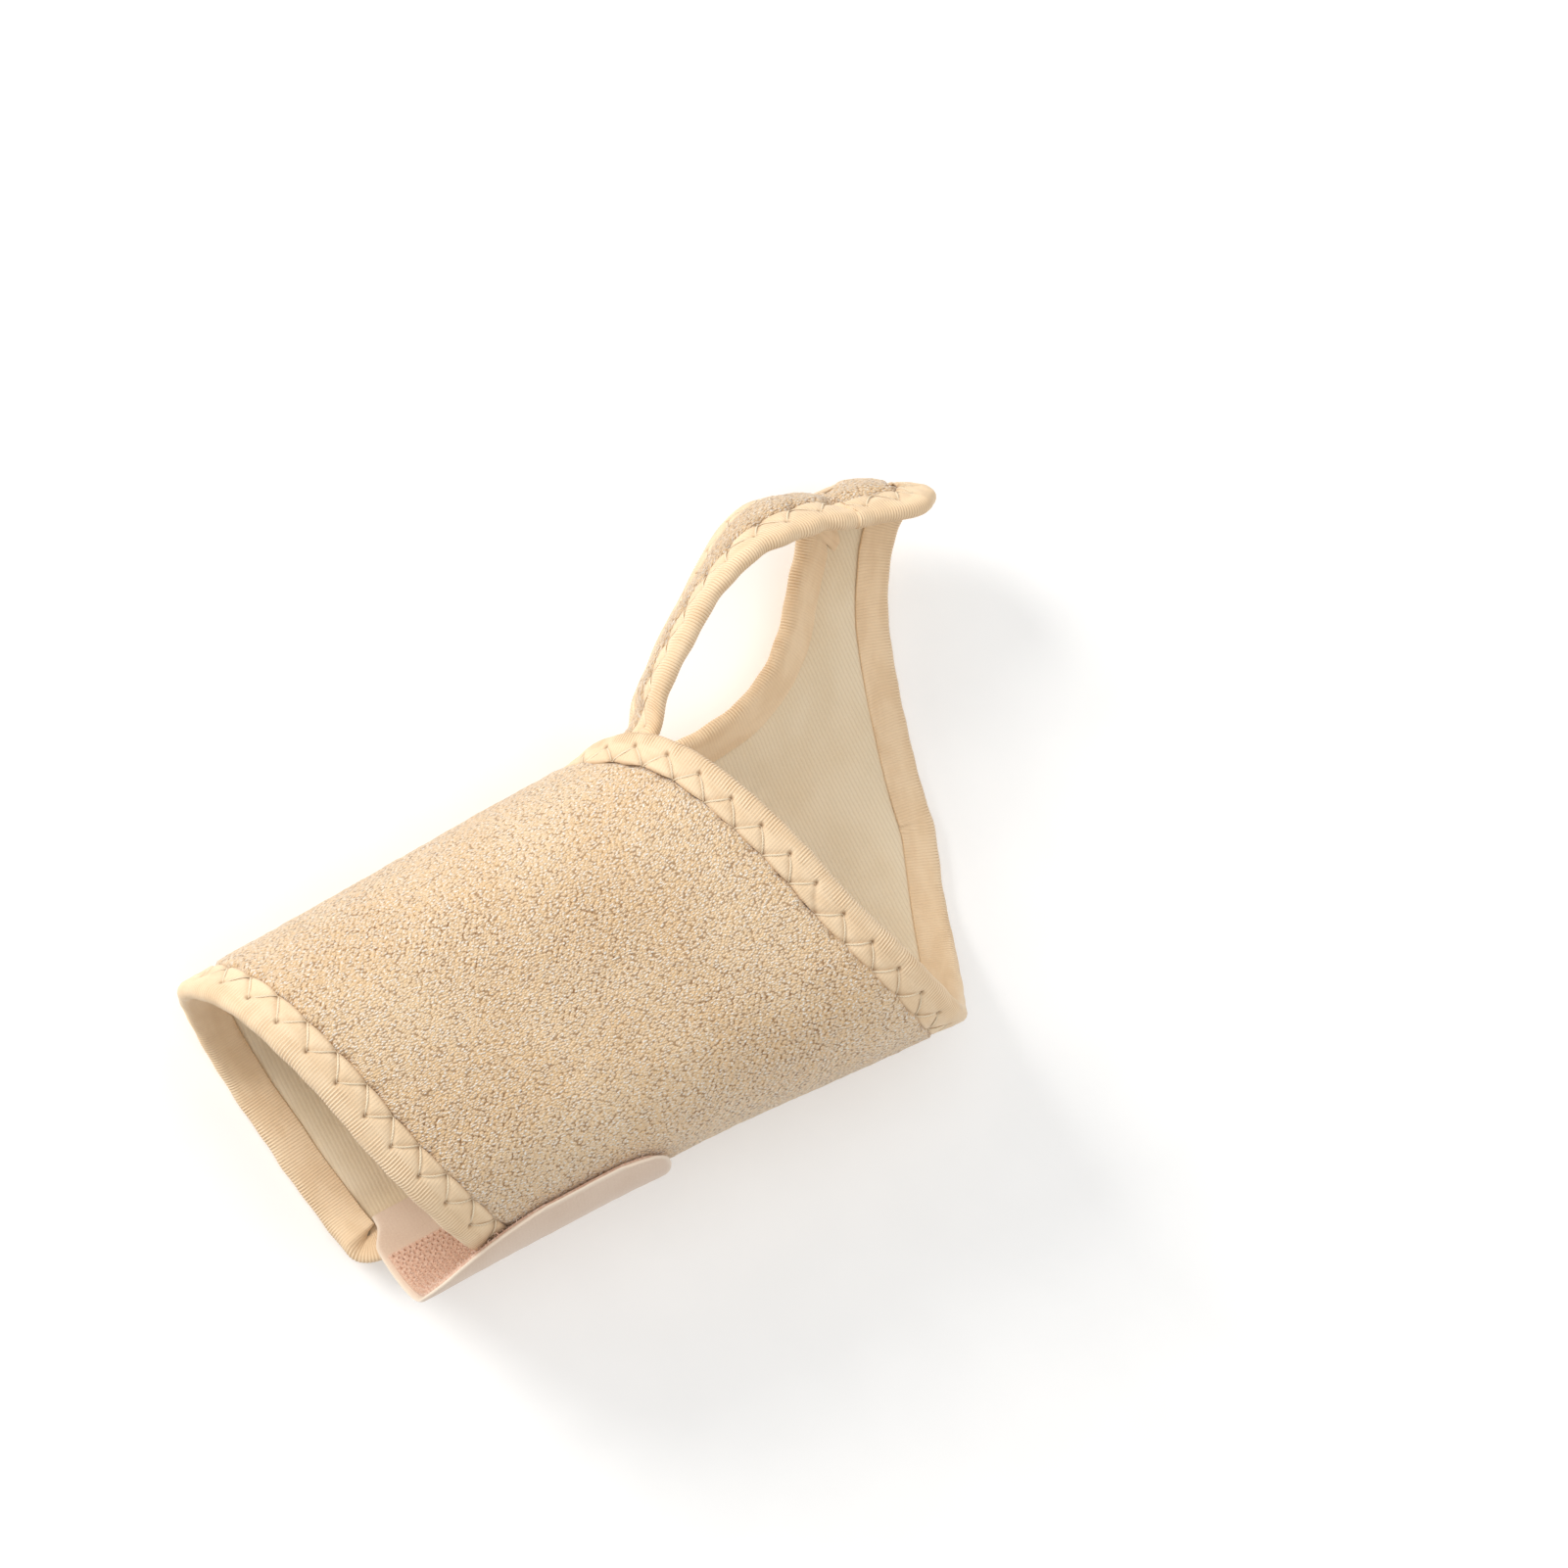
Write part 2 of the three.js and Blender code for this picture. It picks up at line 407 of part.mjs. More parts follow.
// The sewn-in end of the tab, in the thinned tail of the outer strap.
const anchorAngles = [479, 485, FOLD_TAB - 0.9];
add("hook_tab_anchor", plate(anchorAngles.length, 4,
  (i, j) => wrapOuter(anchorAngles[i], mix(2, TAB_DISTAL - 1, j / 3), OUTER_TURN + 0.12),
  (i, j) => wrapOuter(anchorAngles[i], mix(2, TAB_DISTAL - 1, j / 3), OUTER_TURN + 0.95)), "back");

export default model;
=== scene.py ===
"""Wrist splint, visual model: a pile-faced foam strip with folded edge tapes, zigzag seams, a thumb loop and a hook tab.
Lengths in the tables are millimetres in the strip's own frame; meshes are metres in the part's frame."""

import bpy
import json
import math
import numpy as np
from mathutils import Matrix, Vector

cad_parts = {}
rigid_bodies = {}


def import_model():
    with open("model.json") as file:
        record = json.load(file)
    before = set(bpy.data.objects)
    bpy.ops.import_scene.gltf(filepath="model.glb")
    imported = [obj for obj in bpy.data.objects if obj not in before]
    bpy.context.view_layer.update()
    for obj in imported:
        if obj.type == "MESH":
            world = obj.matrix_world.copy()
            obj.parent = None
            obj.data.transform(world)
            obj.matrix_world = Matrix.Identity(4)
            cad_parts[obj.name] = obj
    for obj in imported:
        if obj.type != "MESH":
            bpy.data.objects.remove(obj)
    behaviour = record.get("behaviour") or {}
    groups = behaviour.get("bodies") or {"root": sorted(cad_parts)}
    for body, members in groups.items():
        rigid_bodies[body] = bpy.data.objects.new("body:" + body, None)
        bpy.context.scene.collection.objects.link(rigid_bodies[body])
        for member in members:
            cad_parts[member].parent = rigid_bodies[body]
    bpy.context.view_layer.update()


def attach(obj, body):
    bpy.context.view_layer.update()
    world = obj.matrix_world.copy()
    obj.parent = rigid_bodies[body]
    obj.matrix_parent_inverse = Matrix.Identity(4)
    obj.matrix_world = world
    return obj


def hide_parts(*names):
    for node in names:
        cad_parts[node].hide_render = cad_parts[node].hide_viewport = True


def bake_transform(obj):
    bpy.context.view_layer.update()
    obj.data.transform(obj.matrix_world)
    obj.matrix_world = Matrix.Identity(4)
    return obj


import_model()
rng = np.random.RandomState(11)

# ------------------------------------------------------------------ camera, floor, light
scene = bpy.context.scene
AIM = Vector((0.0298, 0.00191, 0.028))
TILT = math.radians(15)
LOOK = Vector((math.sin(TILT), 0, -math.cos(TILT)))
ALONG = Vector((math.cos(TILT), 0, math.sin(TILT)))
RIGHT = 0.890 * ALONG - 0.456 * Vector((0, 1, 0))
UP = 0.456 * ALONG + 0.890 * Vector((0, 1, 0))
RIGHT.normalize()
UP.normalize()
cam_data = bpy.data.cameras.new("camera")
cam_data.lens = 85
cam_data.sensor_width = 36
cam_data.clip_start = 0.01
cam_data.clip_end = 20
cam = bpy.data.objects.new("camera", cam_data)
scene.collection.objects.link(cam)
cam.matrix_world = Matrix(
    (
        (RIGHT.x, UP.x, -LOOK.x, 0),
        (RIGHT.y, UP.y, -LOOK.y, 0),
        (RIGHT.z, UP.z, -LOOK.z, 0),
        (0, 0, 0, 1),
    )
)
cam.location = AIM - LOOK * 0.66
scene.camera = cam
scene.view_settings.view_transform = "Standard"
scene.view_settings.look = "None"


def area_light(name, where, size, power, colour=(1, 1, 1)):
    data = bpy.data.lights.new(name, "AREA")
    data.shape = "DISK"
    data.size = size
    data.energy = power
    data.color = colour
    o = bpy.data.objects.new(name, data)
    o.location = where
    o.rotation_mode = "QUATERNION"
    o.rotation_quaternion = (AIM - Vector(where)).to_track_quat("-Z", "Y")
    scene.collection.objects.link(o)


area_light("key", AIM - LOOK * 0.55 - RIGHT * 0.62 + UP * 0.52, 0.45, 6.5, (1.0, 0.985, 0.96))
area_light("fill", AIM - LOOK * 0.60 + RIGHT * 0.70 - UP * 0.10, 0.8, 1.2, (0.97, 0.985, 1.0))
area_light("top", AIM + Vector((0.0, 0.0, 0.9)), 0.9, 2.2)
world = bpy.data.worlds.new("studio")
world.use_nodes = True
world.node_tree.nodes["Background"].inputs["Color"].default_value = (1.0, 0.995, 0.985, 1)
world.node_tree.nodes["Background"].inputs["Strength"].default_value = 0.50
scene.world = world


# ------------------------------------------------------------------ materials
class Material:
    """A small node builder."""

    def __init__(self, name):
        self.m = bpy.data.materials.new(name)
        self.m.use_nodes = True
        self.t = self.m.node_tree
        self.t.nodes.clear()
        self.out = self.t.nodes.new("ShaderNodeOutputMaterial")
        self.b = self.t.nodes.new("ShaderNodeBsdfPrincipled")
        self.t.links.new(self.b.outputs[0], self.out.inputs[0])

    def node(self, kind, inputs=None, **settings):
        n = self.t.nodes.new(kind)
        for k, v in settings.items():
            setattr(n, k, v)
        for k, v in (inputs or {}).items():
            self.put(v, n.inputs[k])
        return n

    def put(self, value, socket):
        if isinstance(value, bpy.types.NodeSocket):
            self.t.links.new(value, socket)
        else:
            socket.default_value = value

    def math(self, op, a, b=0.0, clamp=False):
        n = self.t.nodes.new("ShaderNodeMath")
        n.operation = op
        n.use_clamp = clamp
        self.put(a, n.inputs[0])
        self.put(b, n.inputs[1])
        return n.outputs[0]

    def step(self, value, low, high, out_low=0.0, out_high=1.0):
        n = self.t.nodes.new("ShaderNodeMapRange")
        n.interpolation_type = "SMOOTHSTEP"
        self.put(value, n.inputs["Value"])
        for k, v in (("From Min", low), ("From Max", high), ("To Min", out_low), ("To Max", out_high)):
            n.inputs[k].default_value = v
        return n.outputs["Result"]

    def mix(self, factor, a, b, kind="MIX"):
        n = self.t.nodes.new("ShaderNodeMix")
        n.data_type = "RGBA"
        n.blend_type = kind
        n.clamp_factor = True
        self.put(factor, n.inputs["Factor"])
        colours = [s for s in n.inputs if s.type == "RGBA"]
        for s, v in zip(colours, (a, b)):
            self.put(v if isinstance(v, bpy.types.NodeSocket) else (*v, 1.0)[:4], s)
        return next(s for s in n.outputs if s.type == "RGBA")

    def place(self, scale=(1, 1, 1), turn=0.0):
        uv = self.node("ShaderNodeUVMap", uv_map="cut")
        return self.node(
            "ShaderNodeMapping", {"Vector": uv.outputs[0], "Rotation": (0, 0, turn), "Scale": scale}
        ).outputs[0]

    def noise(self, vector, scale, detail=2.0, rough=0.5):
        return self.node(
            "ShaderNodeTexNoise", {"Vector": vector, "Scale": scale, "Detail": detail, "Roughness": rough},
            noise_dimensions="2D",
        ).outputs[0]

    def cells(self, vector, scale, randomness=1.0, feature="F1"):
        return self.node(
            "ShaderNodeTexVoronoi", {"Vector": vector, "Scale": scale, "Randomness": randomness},
            voronoi_dimensions="2D", feature=feature,
        )

    def attribute(self, name):
        return self.node("ShaderNodeAttribute", attribute_name=name).outputs["Fac"]

    def bump(self, height, distance, strength=1.0, normal=None):
        inputs = {"Height": height, "Distance": distance, "Strength": strength}
        if normal is not None:
            inputs["Normal"] = normal
        return self.node("ShaderNodeBump", inputs).outputs[0]

    def finish(self, **values):
        names = {
            "colour": "Base Color", "rough": "Roughness", "normal": "Normal", "sheen": "Sheen Weight",
            "sheen_rough": "Sheen Roughness", "spec": "Specular IOR Level", "ior": "IOR", "tint": "Sheen Tint",
        }
        for k, v in values.items():
            s = self.b.inputs[names[k]]
            if k in ("colour", "tint") and not isinstance(v, bpy.types.NodeSocket):
                v = (*v, 1.0)[:4]
            self.put(v, s)
        return self.m


def pile_material():
    m = Material("brushed loop pile")
    flat = m.place()
    grain = m.place((1.0, 0.62, 1.0), math.radians(38))
    loops = m.cells(grain, 2.65, 0.9)
    fibres = m.noise(m.place((1.0, 0.42, 1.0), math.radians(-30)), 3.6, 2.0, 0.6)
    patches = m.noise(flat, 0.55, 2.0, 0.6)
    tone = m.noise(flat, 0.06, 2.0, 0.5)
    rows = m.node(
        "ShaderNodeTexWave", {"Vector": m.place((1, 1, 1), math.radians(52)), "Scale": 0.335, "Distortion": 2.2, "Detail": 1.0, "Detail Scale": 1.2},
        wave_type="BANDS", bands_direction="X", wave_profile="SIN",
    ).outputs["Fac"]
    rows_there = m.step(m.noise(flat, 0.035, 1.0), 0.40, 0.62)
    rows_dark = m.math("MULTIPLY", m.step(rows, 0.35, 0.05), rows_there)
    distance = loops.outputs["Distance"]
    # painted shade: darker in the gaps between the pile loops; the next line adds the pile's own darker knit rows in
    # places
    pit_shade_and_rows = m.step(m.math("ADD", distance, m.math("MULTIPLY", m.math("SUBTRACT", patches, 0.5), 0.55)), 0.50, 0.74)
    pit_shade_and_rows = m.math("ADD", m.math("MULTIPLY", pit_shade_and_rows, 0.74), m.math("MULTIPLY", rows_dark, 0.26), clamp=True)
    # painted highlight: bright specks on the fibre streaks near the loop tops
    lights = m.math("MULTIPLY", m.step(fibres, 0.520, 0.635), m.step(distance, 0.62, 0.24))
    base = m.mix(m.step(tone, 0.3, 0.7), (0.850, 0.590, 0.335), (0.895, 0.650, 0.395))
    base = m.mix(m.math("MULTIPLY", m.step(patches, 0.35, 0.7), 0.40), base, (0.88, 0.69, 0.50))
    # the painted pit shade and the darker knit rows go into the colour
    colour = m.mix(pit_shade_and_rows, base, (0.290, 0.150, 0.062))
    # the painted fibre highlights are laid over the colour
    colour = m.mix(m.math("MULTIPLY", lights, 0.95), colour, (1.0, 0.955, 0.88))
    shade = m.attribute("shade")
    colour = m.mix(m.math("MULTIPLY", shade, 0.75, clamp=True), colour, (0.30, 0.165, 0.075))
    height = m.math("ADD", m.math("MULTIPLY", m.step(distance, 0.75, 0.05), 0.7), m.math("MULTIPLY", fibres, 0.55))
    normal = m.bump(height, 0.00030, 1.0)
    return m.finish(colour=colour, rough=0.86, normal=normal, sheen=0.42, sheen_rough=0.4, spec=0.25)


def tape_material():
    m = Material("ribbed edge tape")
    yarn = m.noise(m.place((4.5, 0.8, 1.0)), 1.3, 2.0, 0.6)
    fine = m.noise(m.place(), 5.5, 1.0, 0.5)
    tone = m.noise(m.place((0.35, 1.0, 1.0)), 0.35, 2.0, 0.5)
    weave = m.node(
        "ShaderNodeTexWave", {"Vector": m.place(), "Scale": 0.5513, "Distortion": 0.6, "Detail": 1.0, "Detail Scale": 0.8},
        wave_type="BANDS", bands_direction="X", wave_profile="SIN",
    ).outputs["Fac"]
    base = m.mix(m.step(tone, 0.3, 0.7), (0.825, 0.612, 0.392), (0.885, 0.680, 0.455))
    rib = m.attribute("rib")
    # painted shade in the rib grooves; the next line paints a highlight on the rib crests
    base = m.mix(m.step(rib, 0.1, -0.75, 0.0, 0.72), base, (0.53, 0.335, 0.170))
    base = m.mix(m.step(rib, 0.2, 0.9, 0.0, 0.45), base, (1.0, 0.87, 0.68))
    base = m.mix(m.math("MULTIPLY", m.step(fine, 0.5, 0.75), 0.12), base, (0.60, 0.40, 0.20))
    shade = m.attribute("shade")
    colour = m.mix(m.math("MULTIPLY", shade, 1.0, clamp=True), base, (0.250, 0.125, 0.050))
    height = m.math("ADD", m.math("MULTIPLY", yarn, 0.5), m.math("MULTIPLY", weave, 0.55))
    normal = m.bump(height, 0.00007, 0.8)
    return m.finish(colour=colour, rough=0.62, normal=normal, sheen=0.18, sheen_rough=0.4, spec=0.32)


def lining_material():
    m = Material("smooth knit lining")
    rows = m.node(
        "ShaderNodeTexWave", {"Vector": m.place((1, 1, 1), math.radians(90)), "Scale": 0.42, "Distortion": 1.0, "Detail": 1.0, "Detail Scale": 1.5},
        wave_type="BANDS", bands_direction="X", wave_profile="SIN",
    ).outputs["Fac"]
    knots = m.cells(m.place((1.0, 0.6, 1.0)), 2.2, 0.5).outputs["Distance"]
    tone = m.noise(m.place(), 0.08, 2.0, 0.5)
    fine = m.noise(m.place(), 3.0, 2.0, 0.6)
    base = m.mix(m.step(tone, 0.3, 0.7), (0.800, 0.655, 0.455), (0.845, 0.710, 0.515))
    base = m.mix(m.math("MULTIPLY", m.step(rows, 0.4, 0.05), 0.22), base, (0.55, 0.40, 0.24))
    base = m.mix(m.math("MULTIPLY", m.step(fine, 0.5, 0.72), 0.22), base, (0.92, 0.83, 0.68))
    base = m.mix(m.math("MULTIPLY", m.attribute("shade"), 0.7, clamp=True), base, (0.36, 0.22, 0.11))
    height = m.math("ADD", m.math("MULTIPLY", rows, 0.5), m.math("MULTIPLY", knots, -0.5))
    normal = m.bump(height, 0.00010, 0.7)
    return m.finish(colour=base, rough=0.72, normal=normal, sheen=0.2, sheen_rough=0.4, spec=0.28)


def foam_material():
    m = Material("closed-cell foam")
    cells = m.cells(m.place(), 3.5, 1.0).outputs["Distance"]
    colour = m.mix(m.step(cells, 0.3, 0.7), (0.66, 0.52, 0.35), (0.50, 0.37, 0.23))
    return m.finish(colour=colour, rough=0.9, normal=m.bump(cells, 0.0001, 0.6), spec=0.2)


def thread_material():
    m = Material("twisted sewing thread")
    twist = m.node(
        "ShaderNodeTexWave", {"Vector": m.place((1, 1, 1), math.radians(40)), "Scale": 0.95, "Distortion": 0.2},
        wave_type="BANDS", bands_direction="X", wave_profile="SIN",
    ).outputs["Fac"]
    # painted shade in the twist grooves of the thread
    colour = m.mix(m.step(twist, 0.45, 0.0, 0.0, 0.5), (0.93, 0.785, 0.570), (0.62, 0.44, 0.26))
    colour = m.mix(m.math("MULTIPLY", m.attribute("shade"), 0.85, clamp=True), colour, (0.30, 0.165, 0.07))
    return m.finish(colour=colour, rough=0.55, normal=m.bump(twist, 0.00006, 0.8), spec=0.4)


def tab_material():
    m = Material("back of the hook tape")
    nap = m.noise(m.place(), 2.6, 3.0, 0.65)
    weave = m.cells(m.place((1.0, 0.8, 1.0)), 1.9, 0.35).outputs["Distance"]
    tone = m.noise(m.place(), 0.07, 2.0, 0.5)
    base = m.mix(m.step(tone, 0.3, 0.7), (0.680, 0.515, 0.395), (0.725, 0.565, 0.445))
    base = m.mix(m.math("MULTIPLY", m.step(nap, 0.5, 0.7), 0.25), base, (0.83, 0.71, 0.57))
    base = m.mix(m.math("MULTIPLY", m.step(weave, 0.45, 0.7), 0.15), base, (0.50, 0.36, 0.24))
    shade = m.attribute("shade")
    base = m.mix(m.math("MULTIPLY", shade, 0.55, clamp=True), base, (0.90, 0.80, 0.67))
    height = m.math("ADD", m.math("MULTIPLY", nap, 0.6), m.math("MULTIPLY", weave, -0.35))
    return m.finish(colour=base, rough=0.82, normal=m.bump(height, 0.00007, 0.7), sheen=0.25, sheen_rough=0.5, spec=0.2)


def hook_material():
    m = Material("hook field")
    speck = m.noise(m.place(), 1.8, 2.0, 0.6)
    colour = m.mix(m.step(speck, 0.4, 0.65), (0.640, 0.400, 0.290), (0.760, 0.540, 0.420))
    colour = m.mix(m.math("MULTIPLY", m.attribute("shade"), 0.8, clamp=True), colour, (0.96, 0.83, 0.73))
    return m.finish(colour=colour, rough=0.5, normal=m.bump(speck, 0.00004, 0.5), spec=0.4)


def floor_material():
    m = Material("studio floor")
    co = m.node("ShaderNodeTexCoord").outputs["Object"]
    grain = m.noise(co, 60.0, 2.0)
    colour = m.mix(m.step(grain, 0.3, 0.7), (0.93, 0.93, 0.925), (0.945, 0.945, 0.94))
    m.b.inputs["Emission Color"].default_value = (1, 1, 1, 1)
    m.b.inputs["Emission Strength"].default_value = 0.12
    return m.finish(colour=colour, rough=0.75, spec=0.15)


PILE, TAPE, LINING, FOAM = pile_material(), tape_material(), lining_material(), foam_material()
THREAD, TAB, HOOKS, FLOOR = thread_material(), tab_material(), hook_material(), floor_material()

# ------------------------------------------------------------------ the design's tables, as in the solids
CENTRE = (67.9, 16.61)
LAMINATE, OUTER_TURN = 3.4, 3.9
SHARES = {"lining": (0.0, 0.14), "foam": (0.17, 0.73), "pile": (0.76, 1.0)}
SQUEEZE_LOW, SQUEEZE_HIGH = 0.7, 1.12
BOTTOM, TOP, STRIP_END, SQUARENESS = 7.3, 49.2, -22.0, 0.87
FOLD_TAB = 495.0


class Curve:
    """A smooth curve through its points that never overshoots, straight beyond its ends."""

    def __init__(self, points):
        p = np.array(points, float)
        self.x, self.y = p[:, 0], p[:, 1]
        d = np.diff(self.y) / np.diff(self.x)
        a, b = d[:-1], d[1:]
        inner = np.where(a * b <= 0, 0.0, 2 * a * b / np.where(a + b == 0, 1, a + b))
        self.m = np.concatenate([d[:1], inner, d[-1:]])

    def __call__(self, t):
        t = np.asarray(t, float)
        i = np.clip(np.searchsorted(self.x, t, side="right") - 1, 0, len(self.x) - 2)
        h = self.x[i + 1] - self.x[i]
        s = (t - self.x[i]) / h
        y = (
            self.y[i] * (1 + 2 * s) * (1 - s) ** 2 + self.m[i] * h * s * (1 - s) ** 2
            + self.y[i + 1] * s * s * (3 - 2 * s) + self.m[i + 1] * h * s * s * (s - 1)
        )
        y = np.where(t <= self.x[0], self.y[0] + self.m[0] * (t - self.x[0]), y)
        return np.where(t >= self.x[-1], self.y[-1] + self.m[-1] * (t - self.x[-1]), y)


def smooth(a, b, t):
    s = np.clip((np.asarray(t, float) - a) / (b - a), 0, 1)
    return s * s * (3 - 2 * s)


def mix(a, b, t):
    return a + (b - a) * t


radial_width = Curve([[-20, 27.6], [-13, 28], [20, 29.5], [45, 30.8], [60, 31.4], [66, 32], [69, 32.9], [72, 34.1], [75, 35.6], [79, 36.8], [84, 37.2], [90, 37.2], [100, 38.4], [110, 42.8], [118, 50], [125, 57], [130.5, 60.2], [136, 60], [142, 57.5], [148, 54]])
ulnar_width = Curve([[-20, 26.5], [12, 26.6], [50, 26.9], [80, 28.6], [108, 30.5], [125, 31.5], [147, 32]])
radial_height = Curve([[-20, 28.15], [72, 28.15], [85, 26.3], [100, 23.5], [115, 20], [130, 17], [147, 16]])
loop_top_y = Curve([[70, 31.4], [75, 33.7], [79, 37.2], [85, 42.6], [93, 48.2], [101.6, 53.2], [112.5, 56], [122.5, 55.4], [130.5, 53.2], [137, 51.8], [143, 50], [148, 48.3]])
loop_top_z = Curve([[70, 37], [75, 38], [85, 39.8], [93, 40], [101.6, 39.5], [112.5, 37], [122.5, 33.5], [130.5, 31], [137, 29], [143, 27.5], [147, 26.8]])
loop_low_y = Curve([[70, 33], [75, 35.6], [79, 38.4], [86, 43.8], [93, 49.7], [99, 53.7], [106, 58.5], [113, 62.6], [118, 63.9], [124, 62.3], [127.5, 60.5], [130.5, 59.5]])
loop_low_z = Curve([[70, 20], [75, 20.3], [86, 21], [93, 21], [99, 20.5], [106, 19.5], [113, 18], [118, 17], [124, 15.5], [130.5, 14]])
proximal = Curve([[-22, 46.5], [0, 45], [45, 37], [90, 29], [135, 21], [180, 13], [225, 6], [270, -1], [315, -8], [360, -13.4], [405, -12], [450, -9], [480, -6.5], [520, -3]])
distal = Curve([[-22, 142.5], [-16, 146.6], [-8, 148.9], [0, 149.2], [30, 143.5], [60, 134.8], [90, 126.4], [135, 117], [180, 108], [225, 100.5], [270, 91], [315, 80], [360, 68.7], [405, 63], [450, 57], [485, 53], [520, 47]])
hole_near = Curve([[-22, 75.4], [0, 75.4], [10, 75.7], [21, 77.6], [32, 85]])
hole_far = Curve([[-22, 130.6], [0, 130.6], [10, 130], [21, 127], [32, 117]])
HOLE_LOW = 32.0


def bottom_of(x):
    return mix(BOTTOM, LAMINATE, smooth(65, 88, x))


def power(v):
    return np.sign(v) * np.abs(v) ** SQUARENESS


def section(angle, x):
    angle, x = np.broadcast_arrays(np.asarray(angle, float), np.asarray(x, float))
    c, s = np.cos(np.radians(angle)), np.sin(np.radians(angle))
    middle = mix(radial_height(x), 28.15, smooth(-1, 1, -c))
    y = np.where(c > 0, radial_width(x), ulnar_width(x)) * power(c)
    low = bottom_of(x)
    h = middle - (middle - low + 1.6) * power(np.maximum(s, 0)) - low
    zd = np.where(h > 0.8, low + h, np.where(h < -0.8, low, low + (h + 0.8) ** 2 / 3.2))
    zu = middle + (TOP - middle) * power(np.maximum(-s, 0))
    z = np.where(s > 0, zd, zu)
    web = (angle < 0) & (x > 76)
    w = smooth(76, 92, x)
    t = np.clip(angle / STRIP_END, 0, None)
    y = np.where(web, mix(y, mix(radial_width(x), loop_top_y(x), t**1.4), w), y)
    z = np.where(web, mix(z, mix(middle, loop_top_z(x), t), w), z)
    return y, z


class Waves:
    """Seeded smooth noise over the flat strip."""

    def __init__(self, seed):
        self.g = np.random.RandomState(seed).uniform(-1, 1, (64, 64))

    def __call__(self, u, v, size):
        a, b = np.asarray(u, float) / size, np.asarray(v, float) / size
        i, j = np.floor(a).astype(int), np.floor(b).astype(int)
        p, q = a - i, b - j
        p, q = p * p * (3 - 2 * p), q * q * (3 - 2 * q)
        g = self.g
        return (
            g[i % 64, j % 64] * (1 - p) * (1 - q) + g[(i + 1) % 64, j % 64] * p * (1 - q)
            + g[i % 64, (j + 1) % 64] * (1 - p) * q + g[(i + 1) % 64, (j + 1) % 64] * p * q
        )


broad, middling, small = Waves(3), Waves(5), Waves(8)


def swell(a, x):
    """Slow unevenness of the whole laminate, less where two turns lie on each other."""
    single = smooth(146, 170, a) * (1 - smooth(292, 312, a))
    u = a * 0.55
    return (0.05 + 0.15 * single) * broad(u, x, 21.0) + (0.03 + 0.05 * single) * middling(u, x, 8.0)


def frame_metres(x, y, z):
    return np.stack([(x - CENTRE[0]) / 1000, (y - CENTRE[1]) / 1000, z / 1000], -1)


def unit(v):
    return v / np.maximum(np.linalg.norm(v, axis=-1, keepdims=True), 1e-12)


def wrap(a, x, d):
    """The wrapped strip: angle round the wrist, place along the arm, height over the inner face of its turn."""
    a, x, d = np.broadcast_arrays(np.asarray(a, float), np.asarray(x, float), np.asarray(d, float))
    y, z = section(a, x)
    y0, z0 = section(a - 0.6, x)
    y1, z1 = section(a + 0.6, x)
    ya, za = section(a, x - 0.5)
    yb, zb = section(a, x + 0.5)
    A, B, C, D = y1 - y0, z1 - z0, yb - ya, zb - za
    n2 = unit(np.stack([0 * A, -B, A], -1))
    n3 = unit(np.stack([B * C - A * D, -B, A], -1))
    n = unit(mix(n2, n3, smooth(84, 104, x)[..., None]))
    lift = OUTER_TURN * smooth(255, 316, a)
    return frame_metres(x, y, z) + n * ((d + lift + swell(a, x)) / 1000)[..., None]


def strap_edge(x):
    """Angle at which the loop's thumb edge leaves the strip, at the wrist end and at the web end."""
    return mix(17.0, 9.0, smooth(90, 116, x))


def strap_base(x, v):
    a = mix(STRIP_END, strap_edge(x), v)
    ys, zs = section(a, x)
    yl = mix(loop_top_y(x), loop_low_y(x), v) + mix(0.9, 2.4, smooth(104, 124, x)) * np.sin(np.pi * np.clip(v, -0.2, 1.2))
    zl = mix(loop_top_z(x), loop_low_z(x), v)
    b = smooth(75.4, 84, x) * (1 - smooth(126.0, 130.6, x)) * (1 - smooth(1.06, 1.2, v))
    return np.stack([x, mix(ys, yl, b), mix(zs, zl, b)], -1)


def strap(x, v, d):
    """The thumb loop: place along the arm, 0 at the palm edge to 1 at the thumb edge, height over its inner face."""
    x, v, d = np.broadcast_arrays(np.asarray(x, float), np.asarray(v, float), np.asarray(d, float))
    p = strap_base(x, v)
    across = strap_base(x, v + 0.02) - strap_base(x, v - 0.02)
    along = strap_base(x + 0.4, v) - strap_base(x - 0.4, v)
    n3 = unit(np.cross(across, along))
    n3 = np.where(n3[..., 1:2] < 0, -n3, n3)
    n2 = unit(np.stack([0 * x, -across[..., 2], across[..., 1]], -1))
    n = unit(mix(n2, n3, smooth(76, 88, x)[..., None]))
    dd = d + 0.12 * middling(v * 20, x, 9.0)
    q = frame_metres(p[..., 0], p[..., 1], p[..., 2])
    return q + n * (dd / 1000)[..., None]


def arc(a):
    return np.interp(a, ARC_A, ARC_S)


ARC_A = np.arange(-30.0, 580.0, 0.25)
_p = wrap(np.where(ARC_A > 495, ARC_A - 360, ARC_A), mix(proximal(ARC_A), distal(ARC_A), 0.5), 1.7)
_p[:, 0] = 0
ARC_S = np.concatenate([[0], np.cumsum(np.minimum(np.linalg.norm(np.diff(_p, axis=0), axis=1), 0.0006))]) * 1000


